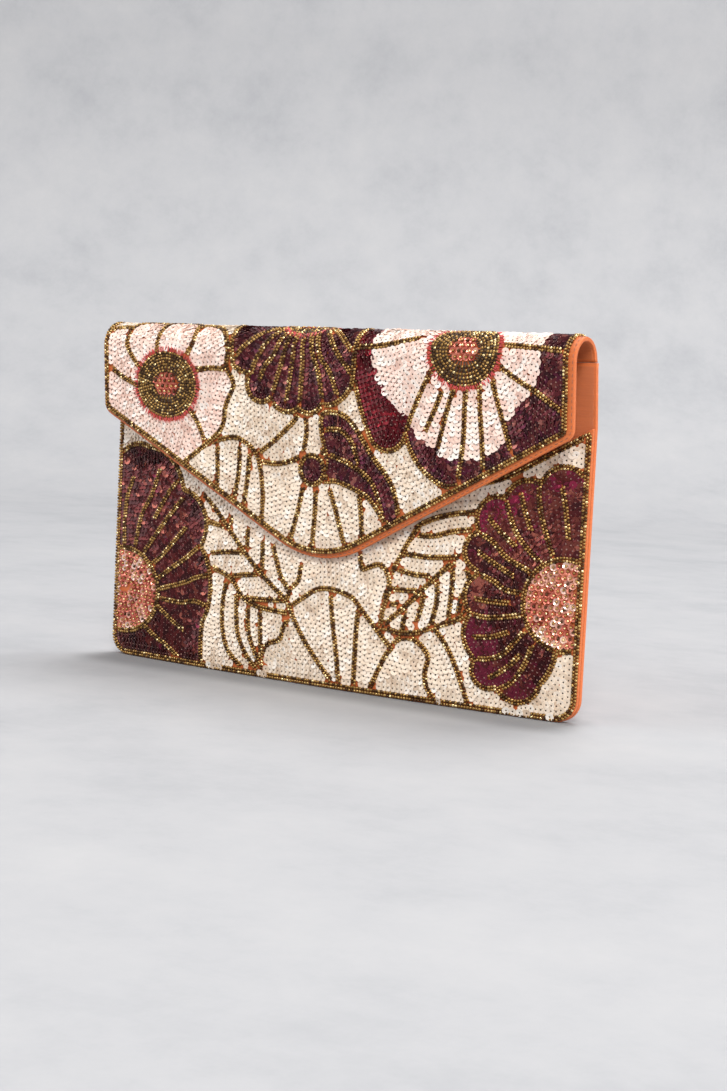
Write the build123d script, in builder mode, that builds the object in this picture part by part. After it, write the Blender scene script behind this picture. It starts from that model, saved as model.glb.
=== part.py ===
"""Envelope clutch purse with an embroidered front and flap.

A flat back and a bowed front make a slim pouch that stands on a lens-shaped base.
The flap is one stiff piece that wraps over the top in a round fold, hinges along
the top of the back, and is held shut by a small magnetic snap.

Millimetres. X runs along the width, Y towards the back, Z up. The origin is the
centre of the base. Each sub-part is exported under its own name into parts/.
"""

import math
import os

from build123d import *

# ---- Driving dimensions ----
WIDTH = 254.0  # across the pouch
DEPTH = 21.6  # of the closed purse, measured over the fold's beads
HEIGHT = 160.8  # to the top of the fold's beads

FABRIC = 0.5  # outer fabric
BOARD = 1.0  # stiffener
LINING = 0.4  # lining and facing
SEQUINS = 0.9  # a layer of sewn sequins
BEADS = 1.2  # a seed bead's height on the fabric
BEAD_BAND = 2.4  # a double row of beads

SEAM_GAP = 0.02  # for the thread between front and back at the side seams
MID_DEPTH = 10.2  # of the pouch half way across, back face to sequins
FRONT_TOP = 122.9  # height of the front panel's top corners
SCOOP_TOP = 98.0  # height of the front panel's top edge in the middle
SCOOP_SLOPE = 0.56  # fall of the top edge from each corner
SCOOP_RADIUS = 50.0
BASE_CORNER_RADIUS = 10.0
BACK_TOP_NARROWING = 1.5  # at each side, from the front's top corners up to the fold

FLAP_WIDTH = 250.0
FLAP_CORNER_HEIGHT = 118.6  # of the flap's side corners
FLAP_TIP_HEIGHT = 58.3
FLAP_TIP_RADIUS = 47.0
FLAP_CORNER_RADIUS = 6.0
FLAP_LEAN = 4.85  # degrees from upright, the tip towards the pouch
FLAP_BORDER = 2.0  # plain fabric outside the flap's edge beads
FRONT_BORDER = 0.5  # the same on the front
FOLD_BARE_ANGLE = 30.0  # degrees of the fold, from the hinge, with no embroidery

SNAP_HEIGHT = 72.0
SNAP_RADIUS = 6.5
SNAP_WALL = 0.3
SOCKET_HEIGHT = 1.4
SOCKET_BORE_RADIUS = 2.5
STUD_RADIUS = 2.0
STUD_LENGTH = 1.5
STUD_PLATE = 0.8
WASHER_THICKNESS = 0.4
WASHER_RADIUS = 7.5
TAB_OFFSET = 4.0  # of the snap's two tabs from its centre
TAB_WIDTH = 2.0
TAB_THICKNESS = 0.4
SNAP_CLEARING_RADIUS = 8.5  # of the bare spot that the socket sits in

POCKET_WIDTH = 110.0
POCKET_BOTTOM = 22.0
POCKET_TOP = 84.0
POCKET_STANDOFF = 0.3
POCKET_HEM = 3.0

# ---- Derived dimensions ----
HALF = WIDTH / 2
FLAP_HALF = FLAP_WIDTH / 2
BACK_Y = DEPTH / 2  # outer face of the back
FOLD_RADIUS = (DEPTH - BEADS) / 2  # of the fold's outer fabric
FOLD_Y = BACK_Y - FOLD_RADIUS
FOLD_Z = HEIGHT - BEADS - FOLD_RADIUS  # also the height of the hinge
STACK = FABRIC + BOARD + LINING  # a panel without its embroidery
SEAM_Y = BACK_Y - STACK  # where back and front meet at the side seams

EDGE_DEPTH = 2 * STACK + SEAM_GAP + SEQUINS  # of the pouch at its side seams
BOW = MID_DEPTH - EDGE_DEPTH
FRONT_RADIUS = (HALF**2 + BOW**2) / (2 * BOW)
FRONT_MID_Y = BACK_Y - MID_DEPTH
FRONT_AXIS_Y = FRONT_MID_Y + FRONT_RADIUS

# Depths behind the front's sequin face
FABRIC_INSIDE = SEQUINS + FABRIC
BOARD_INSIDE = FABRIC_INSIDE + BOARD
FRONT_INSIDE = SEQUINS + STACK

REACH = 2 * DEPTH  # long enough to cut through the whole purse
BASE_ZONE = 9.0  # the base pieces lie below this height
BASE_HALF = 120.0
SMALLEST_PATCH = 3.0  # square mm of embroidery
BLOB_CORNER_RADIUS = 1.5  # of a flower or leaf drawn through points
SHEET_OVERRUN = 1.0  # of a bowed sheet beyond the panel that is cut from it
NEAR = 0.1  # a corner this close to a point counts as being there

# ---- Embroidery, drawn in the front view: (across, up) ----
# Each flower on the front is a fan of petals. A petal's edge is an arc: notch, tip, notch.
RIGHT_FLOWER = [
    [(128, 98), (116, 107.3), (105.2, 100)],
    [(105.2, 100), (97, 100.3), (88.8, 93)],
    [(88.8, 93), (77.8, 89), (77, 77)],
    [(77, 77), (70.5, 68), (77.5, 59)],
    [(77.5, 59), (71.3, 48), (74.7, 41.5)],
    [(74.7, 41.5), (72, 31.5), (77.5, 22)],
    [(77.5, 22), (80, 10.8), (89.7, 9.8)],
    [(89.7, 9.8), (100.5, 5.2), (111, 14.5)],
]
RIGHT_FLOWER_CLOSE = [(117, 31), (128, 34)]
RIGHT_CENTRE = (119, 49, 17.5, 18)  # across, up, and the two half-widths of an ellipse
LEFT_FLOWER = [
    [(-130, 88), (-120, 102.5), (-106, 103)],
    [(-106, 103), (-91, 98), (-82, 84)],
    [(-82, 84), (-69, 75), (-69.5, 57.5)],
    [(-69.5, 57.5), (-62.3, 38), (-67, 21)],
    [(-67, 21), (-67.5, 12), (-66.5, 0)],
]
LEFT_FLOWER_CLOSE = [(-130, 0)]
LEFT_CENTRE = (-120, 32, 21.5, 19)

# Rows of gold beads on the front's pale ground, each through a few points.
FRONT_BEAD_LINES = [
    [(-70, 81), (-54, 67), (-35, 49), (-19, 37)],
    [(-15.5, 31), (-8.5, 20.5), (7, 4)],
    [(-64, 69), (-56, 67), (-48.5, 60.5)],
    [(-61, 55), (-46, 56.5)],
    [(-60, 47), (-52, 43.5), (-42, 34)],
    [(-50, 45), (-36, 47.5)],
    [(-40.5, 35.5), (-22, 36)],
    [(-54.5, 40), (-55, 20.5), (-45, 4)],
    [(-47.8, 36), (-45.8, 18), (-36, 4)],
    [(-29, 17.5), (-22, 18.8), (-17.5, 27)],
    [(-34, 62), (-33.7, 51)],
    [(-12, 54), (-13, 47), (-17, 41)],
    [(-14.5, 36.5), (-2, 43.8), (7.2, 44.5), (22.2, 37.2), (36, 24)],
    [(5.4, 41), (9.3, 16.3), (11.3, 4.5)],
    [(20.1, 36), (19.7, 4.5)],
    [(37, 20.5), (28, 4.5)],
    [(20, 61), (21, 56), (30.5, 58), (35, 50), (32.5, 33)],
    [(49.7, 77), (40.5, 62.5), (34.3, 47.5)],
    [(51.5, 77.5), (74, 84)],
    [(44, 64), (67, 64.5)],
    [(41, 56.5), (54, 55.3)],
    [(67, 62.5), (49.7, 47.3), (35, 32.5)],
    [(66.3, 60), (65.5, 39)],
    [(58.8, 53), (57, 36)],
    [(36, 29.5), (48.8, 29.8), (69, 37.5)],
    [(60.5, 31), (69.7, 19), (76, 4.5)],
    [(40, 25), (47.2, 27.3), (55, 22), (56.3, 10), (61, 4.5)],
]

# The flap's motifs
FLAP_BLUSH_FLOWER = [
    (-128, 166), (-49.5, 166), (-50, 141), (-46.8, 133), (-52, 123.5), (-54, 114), (-64.2, 105.3),
    (-80, 93), (-128, 110),
]
FLAP_BLUSH_RING = (-85.8, 132, 17.5, 15.4)
FLAP_BLUSH_EYE = (-85.8, 132.5, 7, 5)
FLAP_FOLD_FLOWER = [
    [(-46, 166), (-47, 152), (-46, 142)],
    [(-46, 142), (-41, 139.4), (-37.4, 139)],
    [(-37.4, 139), (-34.5, 127), (-26, 128.5)],
    [(-26, 128.5), (-18, 122.6), (-11, 124.5)],
    [(-11, 124.5), (-4, 122.6), (1.5, 126.5)],
    [(1.5, 126.5), (11, 128.5), (18, 137)],
    [(18, 137), (19.2, 150), (19.6, 166)],
]
FLAP_RIGHT_FLOWER = [
    [(19, 166), (18.3, 137.8), (26.7, 115.3)],
    [(26.7, 115.3), (34.2, 108.7), (45.5, 116)],
    [(45.5, 116), (50.8, 104.5), (60, 96.8)],
    [(60, 96.8), (66, 95), (72, 96)],
]
FLAP_RIGHT_FLOWER_CLOSE = [(95, 90), (128, 100), (128, 166)]
FLAP_RIGHT_HEART = [
    [(32.5, 166), (30.5, 140), (47.5, 122.8)],
    [(47.5, 122.8), (54, 114), (64.2, 108.7)],
    [(64.2, 108.7), (78, 107.6), (92.5, 116.2)],
    [(92.5, 116.2), (97, 128), (106.7, 135.3)],
    [(106.7, 135.3), (109, 150), (108, 166)],
]
FLAP_RIGHT_RING = (73.5, 151, 16.7, 15)
FLAP_RIGHT_EYE = (73.5, 153, 7, 5)
FLAP_BUD = (-3.3, 97.4, 7, 7)
FLAP_LEAF = [
    (3.5, 93), (3, 113), (11, 115.5), (24, 107), (34.2, 100.3), (40.2, 88), (41, 79),
    (34.5, 77.5), (29.2, 84.5), (18.3, 90.3),
]
FLAP_BEAD_LINES = [
    [(-78, 96.5), (-64.2, 104.5), (-51.7, 109), (-38, 106), (-32, 96), (-31.3, 74)],
    [(-56.7, 103), (-57, 87.5)],
    [(-43.3, 102), (-47, 82.5)],
    [(-31, 104.5), (-15, 117), (-12.5, 119.5)],
    [(-29.5, 99), (-15.8, 100.3), (-11.5, 102.5)],
    [(-7.1, 119.5), (-6.7, 107)],
    [(1.3, 121.5), (-0.5, 107)],
    [(4.5, 122.5), (11.7, 122.5), (21, 114)],
    [(-8.8, 88.5), (-15, 68)],
    [(-1.7, 87.8), (-3.6, 64)],
    [(5.8, 88), (13, 67.5)],
    [(21.3, 86), (22.9, 72)],
]


# ---- Outlines, in the front view ----
def panel_outline(points, rounded_corners, inset):
    """A closed outline through the points. Its corners at the given points are rounded."""
    with BuildSketch() as outline:
        with BuildLine():
            Polyline(*points, close=True)
        make_face()
        for corner, radius in rounded_corners:
            there = [v for v in outline.vertices() if (Vector(corner) - Vector(v)).length < NEAR]
            fillet(there, radius)
        if inset:
            offset(amount=-inset, kind=Kind.INTERSECTION, mode=Mode.REPLACE)
    return outline.sketch


def front_outline(inset=0.0):
    """The front panel: its top edge falls from each corner to a level scoop."""
    scoop_x = HALF - (FRONT_TOP - SCOOP_TOP) / SCOOP_SLOPE
    points = [
        (-HALF, 0),
        (HALF, 0),
        (HALF, FRONT_TOP),
        (scoop_x, SCOOP_TOP),
        (-scoop_x, SCOOP_TOP),
        (-HALF, FRONT_TOP),
    ]
    radii = [BASE_CORNER_RADIUS, BASE_CORNER_RADIUS, None, SCOOP_RADIUS, SCOOP_RADIUS, None]
    return panel_outline(points, [(p, r) for p, r in zip(points, radii) if r], inset)


def back_outline(inset=0.0):
    """The back panel, narrowing a little from the front's top corners up to the hinge."""
    narrow = HALF - BACK_TOP_NARROWING
    top = FOLD_Z + inset  # so that every layer reaches the hinge
    points = [
        (-HALF, 0),
        (HALF, 0),
        (HALF, FRONT_TOP),
        (narrow, top),
        (-narrow, top),
        (-HALF, FRONT_TOP),
    ]
    return panel_outline(points, [(p, BASE_CORNER_RADIUS) for p in points[:2]], inset)


def flap_outline(inset=0.0):
    """The flap: straight sides up over the fold, and a V with a round tip below."""
    drop = FLAP_CORNER_HEIGHT - FLAP_TIP_RADIUS - FLAP_TIP_HEIGHT
    spread = FLAP_HALF**2 - FLAP_TIP_RADIUS**2
    root = math.sqrt((FLAP_HALF * drop) ** 2 - spread * (drop**2 - FLAP_TIP_RADIUS**2))
    slope = (FLAP_HALF * drop + root) / spread  # the V's slope that puts the round tip at its height
    vertex = (0, FLAP_CORNER_HEIGHT - slope * FLAP_HALF)
    corners = [(FLAP_HALF, FLAP_CORNER_HEIGHT), (-FLAP_HALF, FLAP_CORNER_HEIGHT)]
    above = HEIGHT + DEPTH
    points = [vertex, corners[0], (FLAP_HALF, above), (-FLAP_HALF, above), corners[1]]
    rounded = [(vertex, FLAP_TIP_RADIUS)] + [(c, FLAP_CORNER_RADIUS) for c in corners]
    return panel_outline(points, rounded, inset)


# ---- Embroidery shapes, in the front view ----
def petal_fan(petals, closing_points=()):
    """A region edged by a chain of petal arcs and closed by straight lines."""
    with BuildSketch() as region:
        with BuildLine():
            for start, tip, end in petals:
                ThreePointArc(start, tip, end)
            Polyline(petals[-1][2], *closing_points, petals[0][0])
        make_face()
    return region.sketch


def blob(points):
    with BuildSketch() as region:
        with BuildLine():
            Polyline(*points, close=True)
        make_face()
        fillet(region.vertices(), BLOB_CORNER_RADIUS)
    return region.sketch


def ellipse(shape, growth=0.0):
    across, up, half_width, half_height = shape
    with BuildSketch() as region:
        with Locations((across, up)):
            Ellipse(half_width + growth, half_height + growth)
    return region.sketch


def bead_rows(lines):
    """A double row of beads along each smooth line."""
    with BuildSketch() as rows:
        for points in lines:
            with BuildLine() as path:
                if len(points) > 2:
                    Spline(*points)
                else:
                    Line(*points)
            trace(path.edges(), line_width=BEAD_BAND)
    return rows.sketch


def rim_of(region):
    """A double row of beads just inside a region's edge."""
    return region - offset(region, amount=-BEAD_BAND, kind=Kind.ARC)


def without_scraps(region):
    """The region without the patches too small to hold a sequin."""
    return Sketch([face for face in region.faces() if face.area > SMALLEST_PATCH])


# ---- Curved layers ----
def front_layer(outer_depth, inner_depth):
    """A bowed sheet of the front panel, between two depths behind the sequin face."""
    over = HALF + SHEET_OVERRUN

    def bow(depth):
        radius = FRONT_RADIUS - depth
        edge_y = FRONT_AXIS_Y - math.sqrt(radius**2 - over**2)
        return (-over, edge_y), (0, FRONT_AXIS_Y - radius), (over, edge_y)

    outer, inner = bow(outer_depth), bow(inner_depth)
    with BuildPart() as sheet:
        with BuildSketch(Plane.XY.offset(-SHEET_OVERRUN)):
            with BuildLine():
                ThreePointArc(*outer)
                Line(outer[2], inner[2])
                ThreePointArc(*inner)
                Line(inner[0], outer[0])
            make_face()
        extrude(amount=HEIGHT)
    return sheet.part


def flap_layer(outer_rise, inner_rise, start_angle=0.0, fold_only=False, leg_only=False):
    """A sheet of the flap between two rises above its outer fabric.

    It starts at an angle round the fold, measured from the hinge, and runs over the
    top and down the front leg.
    """
    lean = math.radians(FLAP_LEAN)
    turn = 180 + FLAP_LEAN
    leg = FOLD_Z  # longer than the flap

    def on_fold(rise, degrees):
        radius, angle = FOLD_RADIUS + rise, math.radians(degrees)
        return (FOLD_Y + radius * math.cos(angle), FOLD_Z + radius * math.sin(angle))

    def leg_end(rise):
        y, z = on_fold(rise, turn)
        return (y + leg * math.sin(lean), z - leg * math.cos(lean))

    with BuildPart() as sheet:
        with BuildSketch(Plane.YZ):
            with BuildLine():
                if leg_only:
                    Polyline(
                        on_fold(outer_rise, turn),
                        leg_end(outer_rise),
                        leg_end(inner_rise),
                        on_fold(inner_rise, turn),
                        close=True,
                    )
                else:
                    middle = (start_angle + turn) / 2
                    outer = [on_fold(outer_rise, a) for a in (start_angle, middle, turn)]
                    inner = [on_fold(inner_rise, a) for a in (start_angle, middle, turn)]
                    ThreePointArc(*outer)
                    ThreePointArc(*inner)
                    Line(outer[0], inner[0])
                    if fold_only:
                        Line(outer[2], inner[2])
                    else:
                        Polyline(outer[2], leg_end(outer_rise), leg_end(inner_rise), inner[2])
            make_face()
        extrude(amount=HALF, both=True)
    return sheet.part


def cut_to(sheet, outline):
    """The part of a sheet that lies behind an outline of the front view."""
    with BuildPart() as piece:
        add(sheet)
        with BuildSketch(Plane.XZ):
            add(outline)
        extrude(amount=REACH, both=True, mode=Mode.INTERSECT)
    return piece.part


def flat_sheet(outline, front_y, back_y):
    """An upright flat sheet between two depths."""
    with BuildPart() as piece:
        with BuildSketch(Plane.XZ.offset(-back_y)):
            add(outline)
        extrude(amount=back_y - front_y)
    return piece.part


def export(node, piece):
    piece.label = node
    export_step(piece, os.path.join("parts", node + ".step"))


def disc_ring(plane, outer_radius, inner_radius, height, start=0.0):
    """A washer standing on a plane, or a disc if the inner radius is 0."""
    with BuildPart() as ring:
        with BuildSketch(plane.offset(start)):
            Circle(outer_radius)
            if inner_radius:
                Circle(inner_radius, mode=Mode.SUBTRACT)
        extrude(amount=height)
    return ring.part


def snap_tabs(plane, depth):
    """The two flat tabs that a snap half passes down through its panel."""
    with BuildPart() as tabs:
        with BuildSketch(plane):
            with Locations((-TAB_OFFSET, 0), (TAB_OFFSET, 0)):
                Rectangle(TAB_THICKNESS, TAB_WIDTH)
        extrude(amount=-depth)
    return tabs.part


# ---- Snap planes: each stands on its panel's surface and faces away from the panel ----
FRONT_FABRIC_Y = FRONT_MID_Y + SEQUINS
socket_plane = Plane(origin=(0, FRONT_FABRIC_Y, SNAP_HEIGHT), x_dir=(1, 0, 0), z_dir=(0, -1, 0))

lean = math.radians(FLAP_LEAN)
leg_top = (FOLD_Y - FOLD_RADIUS * math.cos(lean), FOLD_Z - FOLD_RADIUS * math.sin(lean))
leg_down = (math.sin(lean), -math.cos(lean))
inward = (math.cos(lean), math.sin(lean))  # from the flap towards the pouch
snap_drop = (leg_top[1] - SNAP_HEIGHT) / math.cos(lean)
facing_y = leg_top[0] + snap_drop * leg_down[0] + STACK * inward[0]
facing_z = leg_top[1] + snap_drop * leg_down[1] + STACK * inward[1]
stud_plane = Plane(origin=(0, facing_y, facing_z), x_dir=(1, 0, 0), z_dir=(0, *inward))

# ---- Regions of embroidery on the front ----
front_field = front_outline(FRONT_BORDER)
front_inner = front_outline(FRONT_BORDER + BEAD_BAND)
right_flower = petal_fan(RIGHT_FLOWER, RIGHT_FLOWER_CLOSE)
left_flower = petal_fan(LEFT_FLOWER, LEFT_FLOWER_CLOSE)
right_centre = ellipse(RIGHT_CENTRE) & front_inner
left_centre = ellipse(LEFT_CENTRE) & front_inner
right_halo = ellipse(RIGHT_CENTRE, BEAD_BAND) & front_inner
left_halo = ellipse(LEFT_CENTRE, BEAD_BAND) & front_inner
right_beads = ((rim_of(right_flower) & front_inner) + right_halo) - right_centre
left_beads = ((rim_of(left_flower) & front_inner) + left_halo) - left_centre
right_petals = (right_flower & front_inner) - right_beads - right_centre
left_petals = (left_flower & front_inner) - left_beads - left_centre
snap_clearing = ellipse((0, SNAP_HEIGHT, SNAP_CLEARING_RADIUS, SNAP_CLEARING_RADIUS))
ground = front_inner - right_flower - left_flower - right_halo - left_halo - snap_clearing
front_lines = bead_rows(FRONT_BEAD_LINES) & ground
front_regions = {
    "front_edge_beads": (front_field - front_inner, BEADS),
    "front_flower_beads": (right_beads + left_beads, BEADS),
    "front_leaf_beads": (front_lines, BEADS),
    "front_ivory_sequins": (ground - front_lines, SEQUINS),
    "front_left_petal_sequins": (left_petals, SEQUINS),
    "front_right_petal_sequins": (right_petals, SEQUINS),
    "front_left_centre_sequins": (left_centre, SEQUINS),
    "front_right_centre_sequins": (right_centre, SEQUINS),
}
for node, (region, rise) in front_regions.items():
    export(node, cut_to(front_layer(SEQUINS - rise, SEQUINS), without_scraps(region)))

# ---- Front panel ----
with BuildPart() as front_outer_fabric:
    # The fabric turns back over every edge of the stiffener as a rim.
    add(cut_to(front_layer(SEQUINS, FRONT_INSIDE), front_outline()))
    add(cut_to(front_layer(FABRIC_INSIDE, FRONT_INSIDE), front_outline(FABRIC)), mode=Mode.SUBTRACT)
    add(snap_tabs(socket_plane, STACK), mode=Mode.SUBTRACT)
export("front_outer_fabric", front_outer_fabric.part)

with BuildPart() as front_board:
    add(cut_to(front_layer(FABRIC_INSIDE, BOARD_INSIDE), front_outline(FABRIC)))
    add(snap_tabs(socket_plane, STACK), mode=Mode.SUBTRACT)
    # A shallow seat in the back of the stiffener for the snap's washer.
    seat_start = WASHER_THICKNESS + LINING - STACK
    add(disc_ring(socket_plane, WASHER_RADIUS, 0, -STACK, seat_start), mode=Mode.SUBTRACT)
export("front_board", front_board.part)

with BuildPart() as front_lining:
    add(cut_to(front_layer(BOARD_INSIDE, FRONT_INSIDE), front_outline(FABRIC)))
export("front_lining", front_lining.part)

# ---- Back panel ----
with BuildPart() as back_outer_fabric:
    add(flat_sheet(back_outline(), SEAM_Y, BACK_Y))
    add(flat_sheet(back_outline(FABRIC), SEAM_Y, BACK_Y - FABRIC), mode=Mode.SUBTRACT)
export("back_outer_fabric", back_outer_fabric.part)

with BuildPart() as back_board:
    add(flat_sheet(back_outline(FABRIC), SEAM_Y + LINING, BACK_Y - FABRIC))
export("back_board", back_board.part)

with BuildPart() as back_lining:
    add(flat_sheet(back_outline(FABRIC), SEAM_Y, SEAM_Y + LINING))
export("back_lining", back_lining.part)

with BuildPart() as slip_pocket:
    # A sheet sewn down along its sides and bottom, open along its top.
    pocket_back = SEAM_Y
    pocket_front = SEAM_Y - POCKET_STANDOFF - LINING
    with BuildSketch(Plane.XZ.offset(-pocket_back)):
        with Locations((0, (POCKET_BOTTOM + POCKET_TOP) / 2)):
            Rectangle(POCKET_WIDTH, POCKET_TOP - POCKET_BOTTOM)
    extrude(amount=pocket_back - pocket_front)
    with BuildSketch(Plane.XZ.offset(-pocket_back)):
        with Locations((0, (POCKET_BOTTOM + POCKET_HEM + POCKET_TOP) / 2)):
            Rectangle(POCKET_WIDTH - 2 * POCKET_HEM, POCKET_TOP - POCKET_BOTTOM - POCKET_HEM)
    extrude(amount=POCKET_STANDOFF, mode=Mode.SUBTRACT)
export("slip_pocket", slip_pocket.part)


# ---- Base, a lens between the front and the back ----
def base_piece(outer_inset, inner_inset):
    with BuildPart() as piece:
        with BuildSketch(Plane.XY):
            with Locations((0, SEAM_Y - DEPTH / 2)):
                Rectangle(2 * BASE_HALF, DEPTH)
            with Locations((0, FRONT_AXIS_Y)):
                Circle(FRONT_RADIUS - FRONT_INSIDE, mode=Mode.INTERSECT)
        extrude(amount=BASE_ZONE)
        with BuildSketch(Plane.XZ):
            add(back_outline(outer_inset) - back_outline(inner_inset))
        extrude(amount=REACH, both=True, mode=Mode.INTERSECT)
    return piece.part


export("base_fabric", base_piece(0, FABRIC))
export("base_board", base_piece(FABRIC, FABRIC + BOARD))
export("base_lining", base_piece(FABRIC + BOARD, STACK))

# ---- Snap socket on the front ----
with BuildPart() as snap_socket_case:
    add(disc_ring(socket_plane, SNAP_RADIUS, SOCKET_BORE_RADIUS, SOCKET_HEIGHT))
    magnet_outer, magnet_inner = SNAP_RADIUS - SNAP_WALL, SOCKET_BORE_RADIUS + SNAP_WALL
    magnet_height = SOCKET_HEIGHT - 2 * SNAP_WALL
    add(disc_ring(socket_plane, magnet_outer, magnet_inner, magnet_height, SNAP_WALL), mode=Mode.SUBTRACT)
    add(snap_tabs(socket_plane.offset(SNAP_WALL), SNAP_WALL + STACK - LINING - WASHER_THICKNESS))
export("snap_socket_case", snap_socket_case.part)
export("snap_socket_magnet", disc_ring(socket_plane, magnet_outer, magnet_inner, magnet_height, SNAP_WALL))
export("snap_socket_washer", disc_ring(socket_plane, WASHER_RADIUS, 0, WASHER_THICKNESS, LINING - STACK))

# ---- Flap ----
with BuildPart() as flap_outer_fabric:
    add(cut_to(flap_layer(0, -STACK), flap_outline()))
    add(cut_to(flap_layer(-FABRIC, -STACK), flap_outline(FABRIC)), mode=Mode.SUBTRACT)
export("flap_outer_fabric", flap_outer_fabric.part)

stud_seat = disc_ring(stud_plane, SNAP_RADIUS, 0, STUD_PLATE, -LINING)
with BuildPart() as flap_board:
    add(cut_to(flap_layer(-FABRIC, -FABRIC - BOARD, leg_only=True), flap_outline(FABRIC)))
    add(snap_tabs(stud_plane, STACK - FABRIC), mode=Mode.SUBTRACT)
    add(disc_ring(stud_plane, WASHER_RADIUS, 0, WASHER_THICKNESS, FABRIC - STACK), mode=Mode.SUBTRACT)
export("flap_board", flap_board.part)

fold_sheet = flap_layer(-FABRIC, -FABRIC - BOARD, fold_only=True)
export("fold_interlining", cut_to(fold_sheet, flap_outline(FABRIC)))

with BuildPart() as flap_facing:
    add(cut_to(flap_layer(-FABRIC - BOARD, -STACK), flap_outline(FABRIC)))
    add(stud_seat, mode=Mode.SUBTRACT)
export("flap_facing", flap_facing.part)

# ---- Snap stud on the flap ----
with BuildPart() as snap_stud_plate:
    add(stud_seat)
    add(disc_ring(stud_plane, STUD_RADIUS, 0, STUD_LENGTH, STUD_PLATE - LINING))
    add(snap_tabs(stud_plane.offset(-LINING), BOARD - WASHER_THICKNESS))
export("snap_stud_plate", snap_stud_plate.part)
export("snap_stud_washer", disc_ring(stud_plane, WASHER_RADIUS, 0, WASHER_THICKNESS, FABRIC - STACK))

# ---- Regions of embroidery on the flap ----
flap_field = flap_outline(FLAP_BORDER)
flap_inner = flap_outline(FLAP_BORDER + BEAD_BAND)
blush_flower = blob(FLAP_BLUSH_FLOWER)
fold_flower = petal_fan(FLAP_FOLD_FLOWER)
right_flower = petal_fan(FLAP_RIGHT_FLOWER, FLAP_RIGHT_FLOWER_CLOSE) - fold_flower
heart = petal_fan(FLAP_RIGHT_HEART)
leaf = blob(FLAP_LEAF) - ellipse(FLAP_BUD)
bud = ellipse(FLAP_BUD)
blush_ring = ellipse(FLAP_BLUSH_RING)
right_ring = ellipse(FLAP_RIGHT_RING) & flap_inner
blush_eye = ellipse(FLAP_BLUSH_EYE)
right_eye = ellipse(FLAP_RIGHT_EYE) & flap_inner
flap_ground = flap_inner - blush_flower - fold_flower - right_flower - leaf - bud
flap_lines = bead_rows(FLAP_BEAD_LINES) & flap_ground
heart_sequins = (heart & flap_inner) - rim_of(right_flower) - right_ring
flap_regions = {
    "flap_edge_beads": (flap_field - flap_inner, BEADS),
    "flap_blush_flower_beads": (rim_of(blush_flower) & flap_inner, BEADS),
    "flap_fold_flower_beads": (rim_of(fold_flower) & flap_inner, BEADS),
    "flap_right_flower_beads": (rim_of(right_flower) & flap_inner, BEADS),
    "flap_leaf_beads": (rim_of(leaf) + rim_of(bud), BEADS),
    "flap_line_beads": (flap_lines, BEADS),
    "flap_ring_beads": ((blush_ring - blush_eye) + (right_ring - right_eye), BEADS),
    "flap_eye_sequins": (blush_eye + right_eye, SEQUINS),
    "flap_ivory_sequins": (flap_ground - flap_lines, SEQUINS),
    "flap_blush_flower_sequins": ((blush_flower & flap_inner) - rim_of(blush_flower) - blush_ring, SEQUINS),
    "flap_fold_flower_sequins": ((fold_flower & flap_inner) - rim_of(fold_flower), SEQUINS),
    "flap_right_petal_sequins": (
        (right_flower & flap_inner) - rim_of(right_flower) - heart - right_ring,
        SEQUINS,
    ),
    "flap_right_heart_sequins": (heart_sequins, SEQUINS),
    "flap_bud_leaf_sequins": ((leaf - rim_of(leaf)) + (bud - rim_of(bud)), SEQUINS),
}
for node, (region, rise) in flap_regions.items():
    export(node, cut_to(flap_layer(rise, 0, start_angle=FOLD_BARE_ANGLE), without_scraps(region)))
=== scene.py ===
"""Looks of the envelope clutch purse: sewn sequins, seed beads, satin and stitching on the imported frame.

Everything is drawn in millimetres and turned into metres when a mesh is made. A panel is
drawn flat: x runs across it and h up it. The front's h is its height. The flap's h is its
height on the leg and goes on as arc length over the fold.
"""

import itertools
import math

import bpy
import numpy as np
from mathutils import Matrix, Vector
from mathutils.geometry import delaunay_2d_cdt
from mathutils.kdtree import KDTree


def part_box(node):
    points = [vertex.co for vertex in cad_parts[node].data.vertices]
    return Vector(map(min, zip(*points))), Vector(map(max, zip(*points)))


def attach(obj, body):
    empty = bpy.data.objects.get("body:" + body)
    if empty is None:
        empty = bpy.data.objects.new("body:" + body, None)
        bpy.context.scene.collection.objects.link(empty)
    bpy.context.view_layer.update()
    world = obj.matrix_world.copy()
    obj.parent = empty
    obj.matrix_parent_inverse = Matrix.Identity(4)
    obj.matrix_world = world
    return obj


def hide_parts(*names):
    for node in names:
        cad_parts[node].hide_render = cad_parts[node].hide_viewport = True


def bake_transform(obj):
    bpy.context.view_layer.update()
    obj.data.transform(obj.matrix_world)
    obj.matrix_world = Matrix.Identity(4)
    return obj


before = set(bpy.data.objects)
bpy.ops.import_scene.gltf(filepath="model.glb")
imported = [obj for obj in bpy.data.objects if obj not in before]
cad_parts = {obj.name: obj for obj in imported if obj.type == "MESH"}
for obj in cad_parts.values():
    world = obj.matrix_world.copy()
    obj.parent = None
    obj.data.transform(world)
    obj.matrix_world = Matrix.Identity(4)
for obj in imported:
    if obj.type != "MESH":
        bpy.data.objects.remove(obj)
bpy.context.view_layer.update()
random = np.random.default_rng(7)
MM = 0.001

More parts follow.
